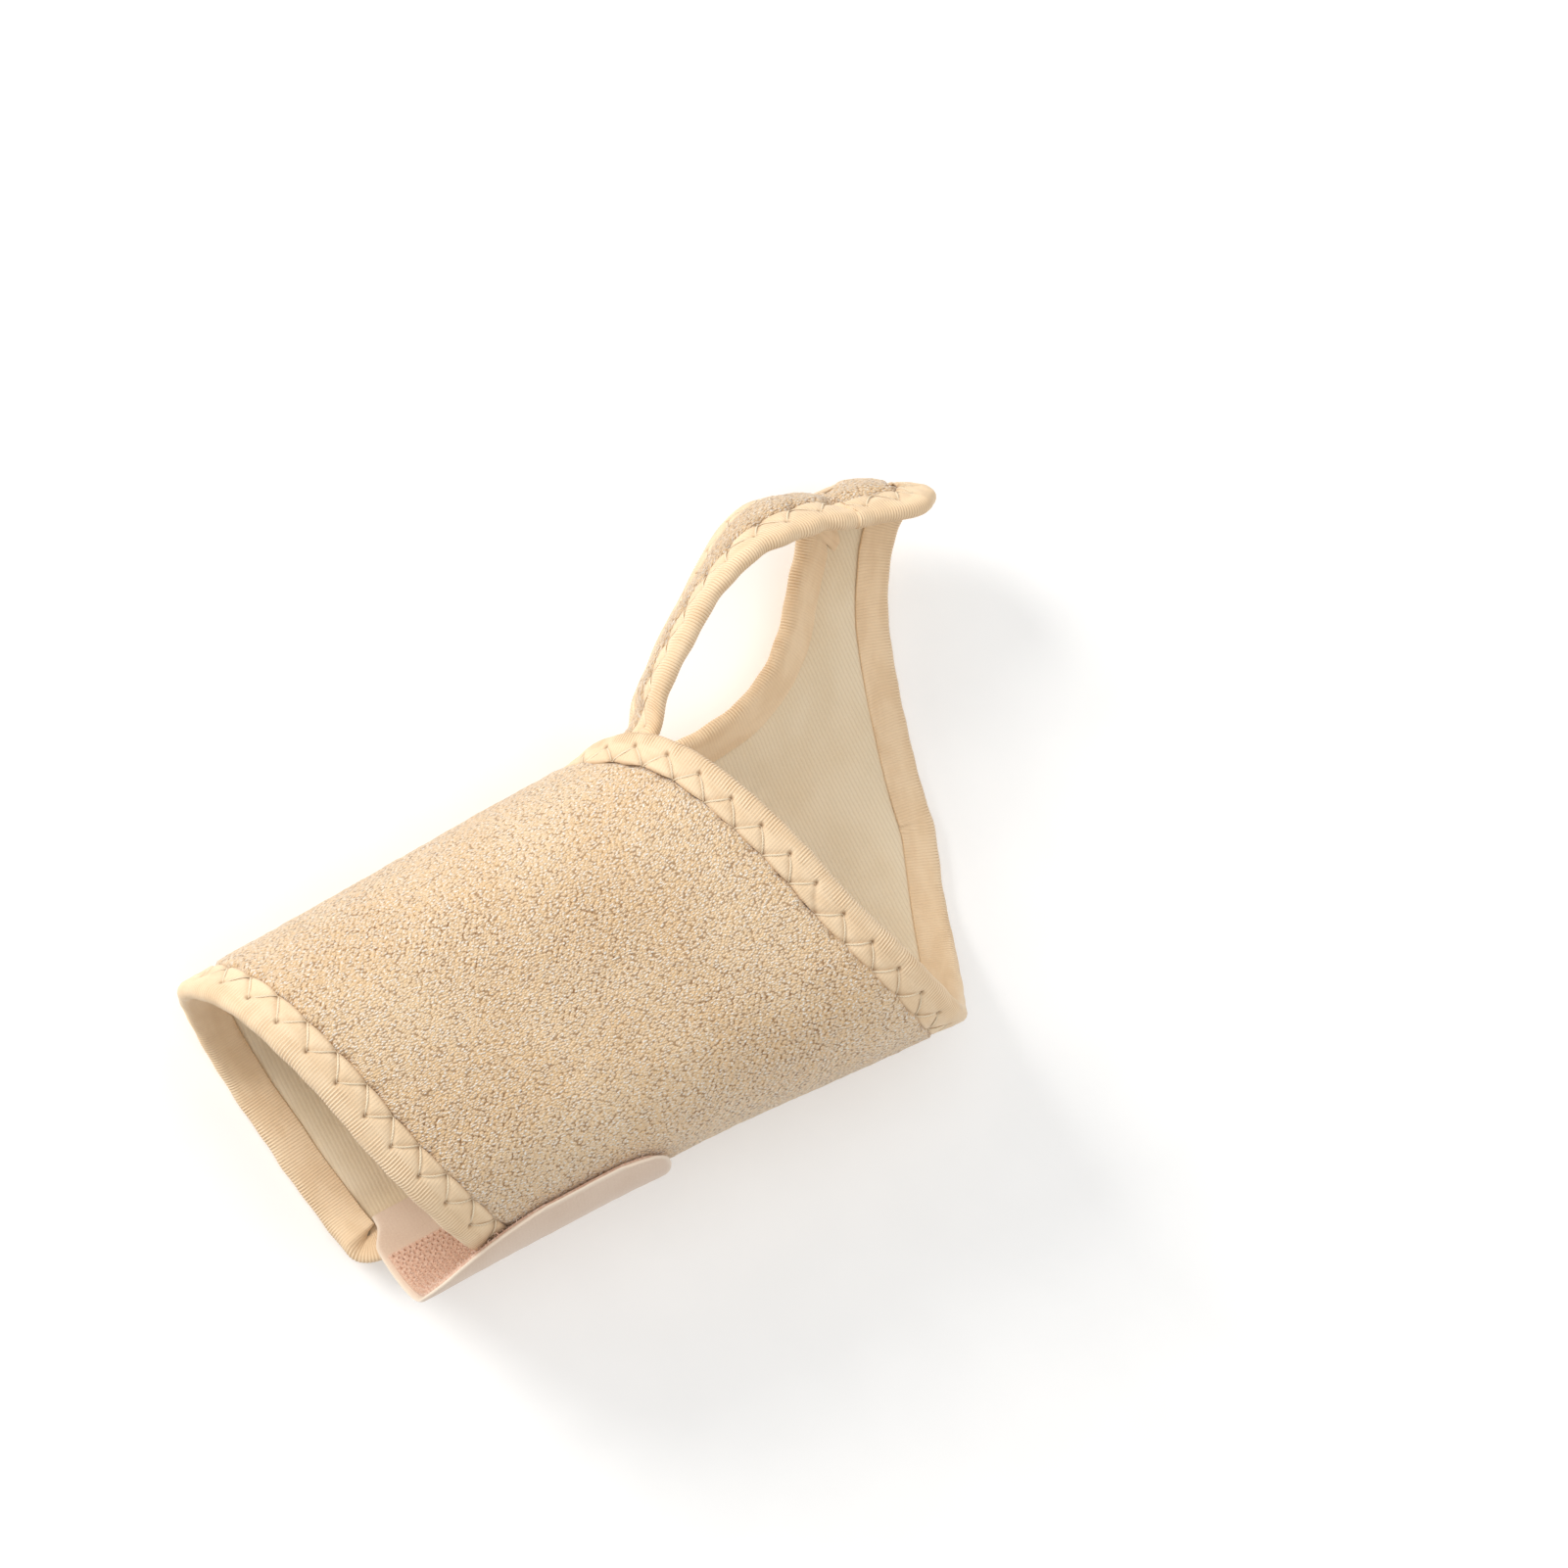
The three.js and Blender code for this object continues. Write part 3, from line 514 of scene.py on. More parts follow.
# ------------------------------------------------------------------ meshes
def mesh_object(name, verts, faces, material, uv=None, floats=None, sharp=38):
    me = bpy.data.meshes.new(name)
    verts = np.ascontiguousarray(verts, np.float32).reshape(-1, 3)
    counts = np.array([f.shape[1] for f in faces for _ in range(1)])
    me.vertices.add(len(verts))
    me.vertices.foreach_set("co", verts.ravel())
    loops = np.concatenate([f.ravel() for f in faces]).astype(np.int32)
    total = np.concatenate([np.full(len(f), f.shape[1]) for f in faces]).astype(np.int32)
    start = np.concatenate([[0], np.cumsum(total)[:-1]]).astype(np.int32)
    me.loops.add(len(loops))
    me.loops.foreach_set("vertex_index", loops)
    me.polygons.add(len(total))
    me.polygons.foreach_set("loop_start", start)
    me.polygons.foreach_set("loop_total", total)
    me.update(calc_edges=True)
    if me.validate(verbose=False):
        print("mesh repaired:", name)
    me.shade_smooth()
    if sharp:
        me.set_sharp_from_angle(angle=math.radians(sharp))
    if uv is not None:
        layer = me.uv_layers.new(name="cut")
        layer.data.foreach_set("uv", np.ascontiguousarray(uv, np.float32)[loops].ravel())
    for key, values in (floats or {}).items():
        at = me.attributes.new(key, "FLOAT", "POINT")
        at.data.foreach_set("value", np.ascontiguousarray(values, np.float32).ravel())
    me.materials.append(material)
    o = bpy.data.objects.new(name, me)
    scene.collection.objects.link(o)
    return o


def plate(name, low, high, material, uv, present=None, floats=None, sharp=38):
    """A closed plate between two grids of points, with cells left out where present is false."""
    nc, nr = high.shape[:2]
    if present is None:
        present = np.ones((nc - 1, nr - 1), bool)
    idx = np.arange(nc * nr).reshape(nc, nr)
    n = nc * nr
    a, b, c, d = idx[:-1, :-1], idx[1:, :-1], idx[1:, 1:], idx[:-1, 1:]
    cells = np.stack([a, b, c, d], -1)
    top = cells[present] + n
    bottom = cells[present][:, ::-1]
    padded_cells = np.zeros((nc + 1, nr + 1), bool)
    padded_cells[1:-1, 1:-1] = present
    walls = []
    here = padded_cells[1:-1, 1:-1]
    for shift, (p, q) in (((-1, 0), (d, a)), ((1, 0), (b, c)), ((0, -1), (a, b)), ((0, 1), (c, d))):
        other = padded_cells[1 + shift[0] : nc + shift[0], 1 + shift[1] : nr + shift[1]]
        open_side = here & ~other
        walls.append(np.stack([p[open_side], q[open_side], q[open_side] + n, p[open_side] + n], -1))
    faces = np.concatenate([top, bottom, *walls])
    verts = np.concatenate([low.reshape(-1, 3), high.reshape(-1, 3)])
    uv2 = np.concatenate([uv.reshape(-1, 2)] * 2)
    used = np.unique(faces)
    renamed = np.full(2 * n, -1)
    renamed[used] = np.arange(len(used))
    extra = {k: np.concatenate([f.ravel()] * 2)[used] for k, f in (floats or {}).items()}
    # outward winding: the signed volume decides
    faces = renamed[faces]
    verts = verts[used]
    t = verts[faces]
    volume = np.einsum("ij,ij->i", t[:, 0], np.cross(t[:, 1], t[:, 2])).sum() + np.einsum("ij,ij->i", t[:, 0], np.cross(t[:, 2], t[:, 3])).sum()
    if volume < 0:
        faces = faces[:, ::-1]
    return mesh_object(name, verts, [faces], material, uv2[used], extra, sharp)


def layer_height(layer, side, k):
    return mix(SQUEEZE_LOW * k, LAMINATE - SQUEEZE_HIGH * k, SHARES[layer][side])


def squeeze(e):
    return 1 - smooth(5.9, 7.7, e)


# ------------------------------------------------------------------ edge paths
class Path:
    """A line on a surface of two parameters, by its length in millimetres."""

    def __init__(self, surface, p, q, toward, soften=0):
        p, q = np.asarray(p, float), np.asarray(q, float)
        c = surface(p, q, 1.7)
        s = np.concatenate([[0], np.cumsum(np.linalg.norm(np.diff(c, axis=0), axis=1))]) * 1000
        n = int(s[-1] / 0.25) + 2
        t = np.linspace(0, s[-1], n)
        p, q = np.interp(t, s, p), np.interp(t, s, q)
        for _ in range(soften):
            p[1:-1] = (p[:-2] + 2 * p[1:-1] + p[2:]) / 4
            q[1:-1] = (q[:-2] + 2 * q[1:-1] + q[2:]) / 4
        c = surface(p, q, 1.7)
        self.s = np.concatenate([[0], np.cumsum(np.linalg.norm(np.diff(c, axis=0), axis=1))]) * 1000
        self.p, self.q, self.surface, self.toward = p, q, surface, toward
        self.length = self.s[-1]
        dp = (surface(p + 0.3, q, 0.9) - surface(p - 0.3, q, 0.9)) / 0.6 * 1000
        dq = (surface(p, q + 0.3, 0.9) - surface(p, q - 0.3, 0.9)) / 0.6 * 1000
        if surface is strap:
            dq = (surface(p, q + 0.02, 0.9) - surface(p, q - 0.02, 0.9)) / 0.04 * 1000
        up = unit(surface(p, q, 2.5) - surface(p, q, 0.9))
        along = unit(np.gradient(c, self.s + np.arange(len(p)) * 1e-9, axis=0))
        for _ in range(12):
            up[1:-1] = up[:-2] + 2 * up[1:-1] + up[2:]
            along[1:-1] = along[:-2] + 2 * along[1:-1] + along[2:]
            up, along = unit(up), unit(along)
        into = unit(np.cross(up, along))
        want = toward(p, q)
        guide = dp * want[0][:, None] + dq * want[1][:, None]
        flip = np.einsum("ij,ij->i", into, guide) < 0
        if flip.mean() > 0.5:
            into = -into
        g11, g12, g22 = (np.einsum("ij,ij->i", *v) for v in ((dp, dp), (dp, dq), (dq, dq)))
        h1, h2 = np.einsum("ij,ij->i", dp, into), np.einsum("ij,ij->i", dq, into)
        det = g11 * g22 - g12 * g12
        det = np.maximum(det, 0.12 * g11 * g22)
        gp, gq = (g22 * h1 - g12 * h2) / det, (g11 * h2 - g12 * h1) / det
        kernel = np.ones(7) / 7
        pad = lambda f: np.concatenate([np.full(3, f[0]), f, np.full(3, f[-1])])
        self.gp, self.gq = np.convolve(pad(gp), kernel, "valid"), np.convolve(pad(gq), kernel, "valid")
        # the surface curves, so the far side of a flap is put at its true distance
        reach = np.linalg.norm(surface(p + 6.2 * self.gp, q + 6.2 * self.gq, 1.7) - c, axis=1) * 1000
        c2 = np.clip(6.2 / np.maximum(reach, 1), 0.5, 1.3) - 1
        self.bend = np.convolve(np.concatenate([np.full(10, c2[0]), c2, np.full(10, c2[-1])]), np.ones(21) / 21, "valid")
        # how sharply the path turns towards its inner side, so that a flap narrows where it must
        turn = np.einsum("ij,ij->i", np.gradient(along, self.s + np.arange(len(p)) * 1e-9, axis=0), into)
        turn = np.convolve(pad(turn), kernel, "valid")
        self.radius = 1 / np.maximum(turn, 1e-3)

    def at(self, s, e, d):
        """Points at lengths s, distances e from the edge inwards and heights d."""
        s = np.asarray(s, float)
        p, q, gp, gq, r, c2 = (np.interp(s, self.s, f) for f in (self.p, self.q, self.gp, self.gq, self.radius, self.bend))
        ratio = e / r
        e = np.where(ratio > 0.6, r * (0.6 + 0.3 * (1 - np.exp(-(ratio - 0.6) / 0.3))), e)
        e = e * (1 + c2 * np.clip(e / 6.2, 0, 1))
        return self.surface(p + e * gp, q + e * gq, d)

    def s_of(self, p=None, q=None):
        return float(np.interp(p, self.p, self.s)) if p is not None else float(np.interp(q, self.q, self.s))


WAVY = {}  # how far the thread pulls each fold in
HALF = 3.45  # half a zigzag, along the edge
APEX, NOTCH = 2.75, 6.1
RIB = 0.57
STEP = 0.19


def zig(s):
    """0 where the zigzag touches the pile, 1 at its holes near the fold."""
    f = np.mod(s / (2 * HALF), 1.0)
    return 1 - np.abs(2 * f - 1)


def tape_profile(s, lift, wavy):
    """The folded tape's outline at each length: distances, heights, rib value, shade."""
    n = len(s)
    z = zig(s)
    edge = NOTCH + 0.42 * np.sin(np.pi * np.clip(z, 0, 1) / 2) ** 0.7
    top = np.linspace(1, 0, 12)
    rows_e, rows_d, amp, face = [], [], [], []

    def row(e, d, a, f):
        rows_e.append(np.broadcast_to(e, (n,)))
        rows_d.append(np.broadcast_to(d, (n,)))
        amp.append(a)
        face.append(f)

    row(edge - 0.10, 2.55, 0.0, 0)
    row(edge, 2.85, 0.0, 0)
    row(edge - 0.22, 3.04, 0.2, 1)
    for t in top:
        e = mix(1.62, edge - 0.55, t)
        row(e, 3.13 + 0.13 * np.exp(-(((e - 1.8) / 1.1) ** 2)), 1.0 if t < 0.25 else 0.75 - 0.45 * t, 1)
    for phi in (72, 48, 24, 0, -24, -48, -72):
        f = math.radians(phi)
        row(0.95 - 1.76 * math.cos(f), 1.66 + 1.62 * math.sin(f), 1.0 if phi > -60 else 0.6, 2)
    for e, d in ((1.7, 0.03), (3.4, 0.03), (5.2, 0.04), (6.05, 0.10), (6.2, 0.32), (6.0, 0.5)):
        row(e, d, 0.3, 3)
    for e, d in ((1.2, 0.58), (0.15, 1.0), (0.0, 1.66), (0.15, 2.3), (1.2, 2.60), (5.4, 2.52)):
        row(e, d, 0.0, 4)
    E, D = np.stack(rows_e, 1).astype(float), np.stack(rows_d, 1).astype(float)
    amp, face = np.array(amp), np.array(face)
    # pucker: grooves under the thread legs, pillows between them, a pit at each needle hole
    leg = mix(NOTCH - 0.05, APEX, z)[:, None]
    away = np.abs(E - leg) * 0.72
    on_flap = (face == 1)[None, :]
    fade = smooth(APEX - 1.1, APEX - 0.1, E)
    groove = np.exp(-((away / 0.42) ** 2)) * fade * on_flap
    pillow = (1 - np.exp(-((away / 1.05) ** 2))) * smooth(1.9, 3.0, E) * on_flap
    k = np.round(s / HALF)
    hole_s = np.abs(s - k * HALF)[:, None]
    is_apex = (np.mod(k, 2) == 1)[:, None]
    pit = np.exp(-((hole_s / 0.36) ** 2 + ((E - (APEX - 0.08)) / 0.33) ** 2)) * is_apex * on_flap
    tuck = np.exp(-((hole_s / 0.85) ** 2 + ((E - NOTCH - 0.1) / 0.9) ** 2)) * (~is_apex) * on_flap
    # creases that run from the needle holes over the fold
    crease = np.exp(-((hole_s / 0.55) ** 2)) * is_apex * smooth(APEX + 0.2, APEX - 1.8, E) * ((face == 1) | (face == 2))[None, :]
    rise = 0.17 * pillow - 0.20 * groove - 0.75 * pit - 0.32 * tuck - 0.05 * crease
    rib = np.sin(2 * np.pi * s / RIB)[:, None] * (0.75 + 0.25 * small(s, 0 * s, 1.9))[:, None]
    near = np.exp(-((away / 1.2) ** 2)) * on_flap
    rib_here = rib * (amp[None, :] * (1 - 0.5 * near))
    # outline normals, for the ribs
    de, dd = np.roll(E, -1, 1) - np.roll(E, 1, 1), np.roll(D, -1, 1) - np.roll(D, 1, 1)
    length = np.maximum(np.hypot(de, dd), 1e-6)
    ne, nd = dd / length, -de / length
    outer = (face <= 3)[None, :]
    bulge = rise * on_flap + 0.10 * rib_here * outer
    # slow unevenness of the fold
    roll = 0.06 * small(s, 0 * s + 7.3, 4.3)[:, None] * (face == 2)[None, :]
    E = E + ne * (0.10 * rib_here * outer + roll)
    D = D + np.where(on_flap, bulge, nd * (0.10 * rib_here * outer + roll))
    # pulled in towards each needle hole, out between them
    E = E - wavy * np.cos(2 * np.pi * s / (2 * HALF))[:, None] * (1 - smooth(0.2, 2.2, E))
    D = lift[:, None] + D * ((3.3 - lift) / 3.3)[:, None]
    shade = 1.1 * pit + 0.17 * groove + 0.42 * tuck + 0.22 * np.exp(-(((E - edge[:, None]) / 0.35) ** 2)) * (face <= 1)[None, :]
    shade = np.clip(shade, 0, 1)
    turned = np.cumsum(np.concatenate([[0.0], np.hypot(np.diff(E[0]), np.diff(D[0]))]))
    return E, D, rib_here, shade, turned


def tape(name, path, s0, s1, lift=None):
    n = max(3, int(round((s1 - s0) / STEP)) + 1)
    s = np.linspace(s0, s1, n)
    s = np.unique(np.concatenate([s, [s0 + 0.02, s1 - 0.02]]))
    L = np.zeros(len(s)) if lift is None else lift(s)
    E, D, rib, shade, turned = tape_profile(s, L, WAVY.get(id(path), 0.05))
    points = path.at(s[:, None] + 0 * E, E, D)
    points = rest(points)
    k = E.shape[1]
    idx = np.arange(len(s) * k).reshape(len(s), k)
    a = idx[:-1, :]
    b = idx[1:, :]
    faces = np.stack([a, np.roll(a, -1, 1), np.roll(b, -1, 1), b], -1).reshape(-1, 4)
    first, last = idx[0][None, :], idx[-1][None, ::-1]
    verts = points.reshape(-1, 3)
    t = verts[faces]
    volume = np.einsum("ij,ij->i", t[:, 0], np.cross(t[:, 1], t[:, 2])).sum() + np.einsum("ij,ij->i", t[:, 0], np.cross(t[:, 2], t[:, 3])).sum()
    caps = [first[:, ::-1], last[:, ::-1]]
    if volume < 0:
        faces = faces[:, ::-1]
        caps = [c[:, ::-1] for c in caps]
    uv = np.stack([s[:, None] + 0 * E, turned[None, :] + 0 * E], -1).reshape(-1, 2)
    return mesh_object(name, verts, [faces, *caps], TAPE, uv, {"rib": rib.ravel(), "shade": shade.ravel()}, 50)


def rest(points):
    """Nothing reaches below the table."""
    points[..., 2] = np.maximum(points[..., 2], 0.0)
    return points


def seam(name, path, s0, s1, lift=None):
    """The zigzag thread's visible legs: each goes down a needle hole at both ends."""
    legs = []
    k0, k1 = int(math.ceil((s0 - 1.0) / HALF)), int(math.floor((s1 + 1.0) / HALF))
    for k in range(max(k0, 0), k1):
        if s0 - 1e-6 <= (k + 0.5) * HALF < s1 and (k + 1) * HALF < path.length:
            legs.append(k)
    if not legs:
        return None
    m = 9
    t = np.linspace(0, 1, m)
    verts, faces, uvs, shades = [], [], [], []
    base = 0
    sides = 6
    for k in legs:
        apex_first = k % 2 == 1
        s = (k + 0.03 + 0.94 * t) * HALF
        z = t if not apex_first else 1 - t
        e = mix(NOTCH + 0.12, APEX - 0.05, z)
        bow = 0.22 * np.sin(np.pi * t) * (1 if apex_first else -1)
        e = e + bow
        arch = np.sin(np.pi * t) ** 0.5
        over = 3.13 - 0.10 - 0.42 * (1 - arch) + 0.10 * arch + 0.03 * rng.uniform(-1, 1)
        over = np.where((t == 0) | (t == 1), 2.62, over)
        L = np.zeros(m) if lift is None else lift(s)
        c = path.at(s, e, L + over * (3.3 - L) / 3.3)
        up = unit(path.at(s, e, over + 0.5) - c)
        along = unit(np.gradient(c, axis=0))
        side = unit(np.cross(up, along))
        up = unit(np.cross(along, side))
        r = 0.165e-3 * (1 - 0.25 * (1 - arch))
        th = np.arange(sides) * 2 * np.pi / sides
        ring = c[:, None] + r[:, None, None] * (np.cos(th)[None, :, None] * side[:, None] * 1.12 + np.sin(th)[None, :, None] * up[:, None] * 0.9)
        idx = base + np.arange(m * sides).reshape(m, sides)
        a, b = idx[:-1], idx[1:]
        faces.append(np.stack([a, np.roll(a, -1, 1), np.roll(b, -1, 1), b], -1).reshape(-1, 4))
        faces.append(("cap", idx[0][::-1], idx[-1]))
        verts.append(ring.reshape(-1, 3))
        uvs.append(np.stack([(s - s[0])[:, None] * 1.3 + 0 * th[None], th[None] * 0.19 + 0 * s[:, None]], -1).reshape(-1, 2))
        shades.append(((0.45 * (1 - arch) + (0.14 if not apex_first else 0.0))[:, None] + 0 * th[None]).ravel())
        base += m * sides
    quads = np.concatenate([f for f in faces if not isinstance(f, tuple)])
    caps = np.array([c for f in faces if isinstance(f, tuple) for c in f[1:]])
    verts = np.concatenate(verts)
    t4 = verts[quads]
    volume = np.einsum("ij,ij->i", t4[:, 0] - verts[0], np.cross(t4[:, 1] - verts[0], t4[:, 2] - verts[0])).sum()
    if volume < 0:
        quads, caps = quads[:, ::-1], caps[:, ::-1]
    return mesh_object(name, rest(verts), [quads, caps], THREAD, np.concatenate(uvs), {"shade": np.concatenate(shades)}, 60)


# ------------------------------------------------------------------ outlines with rounded corners
CORNER = 5.0
PER_DEGREE = 0.56


def rounding(t, r=CORNER):
    t = np.clip(t, 0, r)
    return r - np.sqrt(np.maximum(r * r - (r - t) ** 2, 0))


def head_proximal(a):
    return proximal(a) + rounding((a - STRIP_END) * PER_DEGREE)


TAIL = FOLD_TAB - 1.0
TAIL_R = 4.0


def tail_proximal(a):
    return proximal(a) + rounding((TAIL - a) * PER_DEGREE, TAIL_R)


def tail_distal(a):
    return distal(a) - rounding((TAIL - a) * PER_DEGREE, TAIL_R)


def corner_points(n=14):
    return np.radians(np.linspace(0, 90, n))


f = corner_points()
end_x = np.linspace(75.4, float(proximal(-22)) + CORNER, 60)
bend_a = STRIP_END + (CORNER - CORNER * np.cos(f)) / PER_DEGREE
bend_x = proximal(bend_a) + CORNER - CORNER * np.sin(f)
rest_a = np.linspace(bend_a[-1] + 0.3, TAIL - TAIL_R / PER_DEGREE, 1500)
tail_a = TAIL - (TAIL_R - TAIL_R * np.sin(f[1:])) / PER_DEGREE
tail_x = proximal(tail_a) + TAIL_R - TAIL_R * np.cos(f[1:])
mid_tail = 0.5 * (float(proximal(TAIL)) + float(distal(TAIL)))
across = np.linspace(tail_x[-1] + 0.4, mid_tail, 60)
prox_path = Path(
    wrap,
    np.concatenate([np.full(60, STRIP_END), bend_a[1:], rest_a, tail_a, np.full(60, TAIL)]),
    np.concatenate([end_x, bend_x[1:], proximal(rest_a), tail_x, across]),
    lambda p, q: (np.where(p < -12, 1.0, np.where(p > 490, -1.0, 0.0)), np.where((p > -19) & (p < 493), 1.0, 0.0)),
    soften=10,
)
web_a = np.array([-22, -22, -22, -21.9, -21.3, -19.9, -18.2, -16])
web_x = np.array([130.6, 134.5, 138.0, 140.2, 142.3, 144.4, 145.8, 146.8])
dist_a = np.linspace(-15.5, TAIL - TAIL_R / PER_DEGREE, 1500)
tail_xd = distal(tail_a) - TAIL_R + TAIL_R * np.cos(f[1:])
across_d = np.linspace(tail_xd[-1] - 0.4, mid_tail, 60)
dist_path = Path(
    wrap,
    np.concatenate([web_a, dist_a, tail_a, np.full(60, TAIL)]),
    np.concatenate([web_x, distal(dist_a), tail_xd, across_d]),
    lambda p, q: (np.where(p < -19, 1.0, np.where(p > 490, -1.0, 0.0)), np.where((p > -21) & (p < 493), -1.0, 0.0)),
    soften=10,
)
MID = 103.0
ring_x1 = np.linspace(MID, 77.0, 120)
ring_a2 = np.linspace(17, HOLE_LOW, 60)
ring_x3 = np.linspace(85.5, 116.5, 90)
ring_a4 = np.linspace(HOLE_LOW, 9, 80)
ring_x5 = np.linspace(129.7, MID, 120)
ring_x = np.concatenate([ring_x1, hole_near(ring_a2), ring_x3, hole_far(ring_a4), ring_x5])
ring_a = np.concatenate([strap_edge(ring_x1), ring_a2, np.full(90, HOLE_LOW), ring_a4, strap_edge(ring_x5)])


def outwards(x, v):
    """Away from the thumb hole."""
    side = np.where(x < 95, -1.0, np.where(x > 107, 1.0, 0.0))
    return np.where(v < 1.01, 0.0, side), np.where(v < 1.01, -1.0, 0.05)


ring_path = Path(strap, ring_x, (ring_a - STRIP_END) / (strap_edge(ring_x) - STRIP_END), outwards, soften=80)
lx = np.linspace(75.4, 130.6, 300)
palm_path = Path(strap, lx, np.zeros(300), lambda p, q: (0 * p, 1 + 0 * p))
WAVY.update({id(palm_path): 0.22, id(ring_path): 0.10})


# ------------------------------------------------------------------ laminates
OFFSETS = np.array([0, 2.2, 4.4, 5.5, 5.95, 6.25, 6.6, 7.0, 7.5, 8.1, 8.9, 9.9, 11.0])
SPACING = {"pile": 0.85, "foam": 3.0, "lining": 1.5}


def columns(a0, a1, spacing):
    n = max(2, int(round((arc(a1) - arc(a0)) / spacing)))
    s = np.linspace(arc(a0), arc(a1), n + 1)
    a = np.interp(s, ARC_S, ARC_A)
    a[0], a[-1] = a0, a1
    return np.unique(np.concatenate([[a0, a0 + 0.08], a[1:-1], [a1 - 0.08, a1]]))


WRIST_CORNER = int(np.argmin(np.where(ring_path.q <= 1.03, ring_path.p, 999)))
WEB_CORNER = int(np.argmax(np.where(ring_path.q <= 1.03, ring_path.p, -999)))
hole_points = ring_path.at(ring_path.s, 0 * ring_path.s, 1.7 + 0 * ring_path.s)


def edge_marks(a, x, mask):
    """Squeeze and notch dimples of the strip at angle a and place x."""
    p = np.where(a < 0, head_proximal(a), np.where(a > 480, tail_proximal(a), proximal(a)))
    q = np.where(a > 480, tail_distal(a), distal(a))
    k = np.maximum(squeeze(x - p), squeeze(q - x))
    k = np.maximum(k, np.where((a < 10) & ((x < 75.4) | (x > 130.6)), squeeze((a - STRIP_END) * 0.58), 0))
    k = np.maximum(k, np.where(a > 470, squeeze((TAIL - a) * PER_DEGREE), 0))
    near_hole = (a < 50) & (x > 64) & (x < 142)
    away = np.full(a.shape, 99.0)
    if near_hole.any():
        pts = wrap(a[near_hole], x[near_hole], 1.7)
        d = np.full(len(pts), 9.0)
        for chunk in np.array_split(np.arange(len(pts)), max(1, len(pts) // 4000)):
            d[chunk] = np.linalg.norm(pts[chunk][:, None] - hole_points[None, ::3], axis=-1).min(1) * 1000
        away[near_hole] = d
    k = np.maximum(k, squeeze(away))
    # notches where the zigzag pulls the pile in
    dimple = np.zeros(a.shape)
    for path, e in ((prox_path, x - p), (dist_path, q - x)):
        ok = (path.p > -11) & (path.p < TAIL - 8)
        s = np.interp(a, path.p[ok], path.s[ok])
        near = np.exp(-((np.abs(s - np.round(s / (2 * HALF)) * 2 * HALF) / 1.0) ** 2 + ((e - 6.9) / 1.1) ** 2))
        dimple = np.maximum(dimple, near * ((a > -11) & (a < TAIL - 8)))
    return k, dimple, np.minimum(np.minimum(x - p, q - x), away)


def laminate(prefix, a0, a1, has_hole=False, tail=False):
    made = []
    for layer, material in (("pile", PILE), ("foam", FOAM), ("lining", LINING)):
        gap = SPACING[layer]
        cols = columns(a0, a1, gap)
        if has_hole:
            i = np.argmin(np.abs(cols - HOLE_LOW))
            cols[i] = HOLE_LOW
        A = cols[:, None]
        offsets = OFFSETS if layer == "pile" else OFFSETS[[0, 3, 5, 7, 9, 12]] if layer == "lining" else OFFSETS[[0, 5, 8, 12]]
        p = np.where(A < 0, head_proximal(A), np.where(A > 480, tail_proximal(A), proximal(A)))
        q = np.where(A > 480, tail_distal(A), distal(A))
        if has_hole:
            turn = smooth(HOLE_LOW, 100, A)
            near = mix(hole_near(np.minimum(A, HOLE_LOW)), mix(p, q, 0.45), turn)
            far = mix(hole_far(np.minimum(A, HOLE_LOW)), mix(p, q, 0.66), turn)
            n1, n2, n3 = (max(3, int(round(w / gap))) for w in (27, 32, 19))
            o1 = offsets[None] * np.minimum(1, (near - p) / 14.0)
            o3 = offsets[None] * np.minimum(1, (q - far) / 12.6)
            left, right = p + o1[:, -1:], q - o3[:, -1:]
            X = np.concatenate([
                p + o1[:, :-1], left + (near - left) * np.linspace(0, 1, n1 + 1)[None, :-1],
                near + (far - near) * np.linspace(0, 1, n2 + 1)[None, :-1],
                far + (right - far) * np.linspace(0, 1, n3 + 1)[None, :-1], q - o3[:, ::-1],
            ], 1)
            first = len(offsets) - 1 + n1
            present = np.ones((len(cols) - 1, X.shape[1] - 1), bool)
            present[: int(np.argmin(np.abs(cols - HOLE_LOW))), first : first + n2] = False
        else:
            n = max(3, int(round(70 / gap)))
            left, right = p + offsets[-1], q - offsets[-1]
            X = np.concatenate([p + offsets[None, :-1], left + (right - left) * np.linspace(0, 1, n + 1)[None, :-1], q - offsets[None, ::-1]], 1)
            present = None
        AA = np.broadcast_to(A, X.shape)
        k, dimple, e = edge_marks(AA, X, None)
        low, high = layer_height(layer, 0, k), layer_height(layer, 1, k)
        if tail:
            thin = 1.40 * smooth(468, 480, AA)
            low, high = (thin + h * (LAMINATE - thin) / LAMINATE for h in (low, high))
        U = np.broadcast_to(arc(cols)[:, None], X.shape)
        shade = np.zeros(X.shape)
        if layer == "pile":
            grain = 0.10 * small(U * 1.0, X, 1.7) + 0.05 * rng.uniform(-1, 1, X.shape)
            calm = 1 - smooth(-0.5, 1.0, k)
            high = high + grain * (1 - k) + 0.10 * (1 - k) - 0.42 * dimple * (k < 0.98)
            shade = 0.68 * np.exp(-(((e - 6.35) / 0.42) ** 2)) + 0.45 * dimple
        uv = np.stack([U, X], -1)
        o = plate(f"{prefix}_{layer}_layer", rest(wrap(AA, X, low)), rest(wrap(AA, X, high)), material, uv, present, {"shade": shade}, 45)
        made.append(o)
    return made


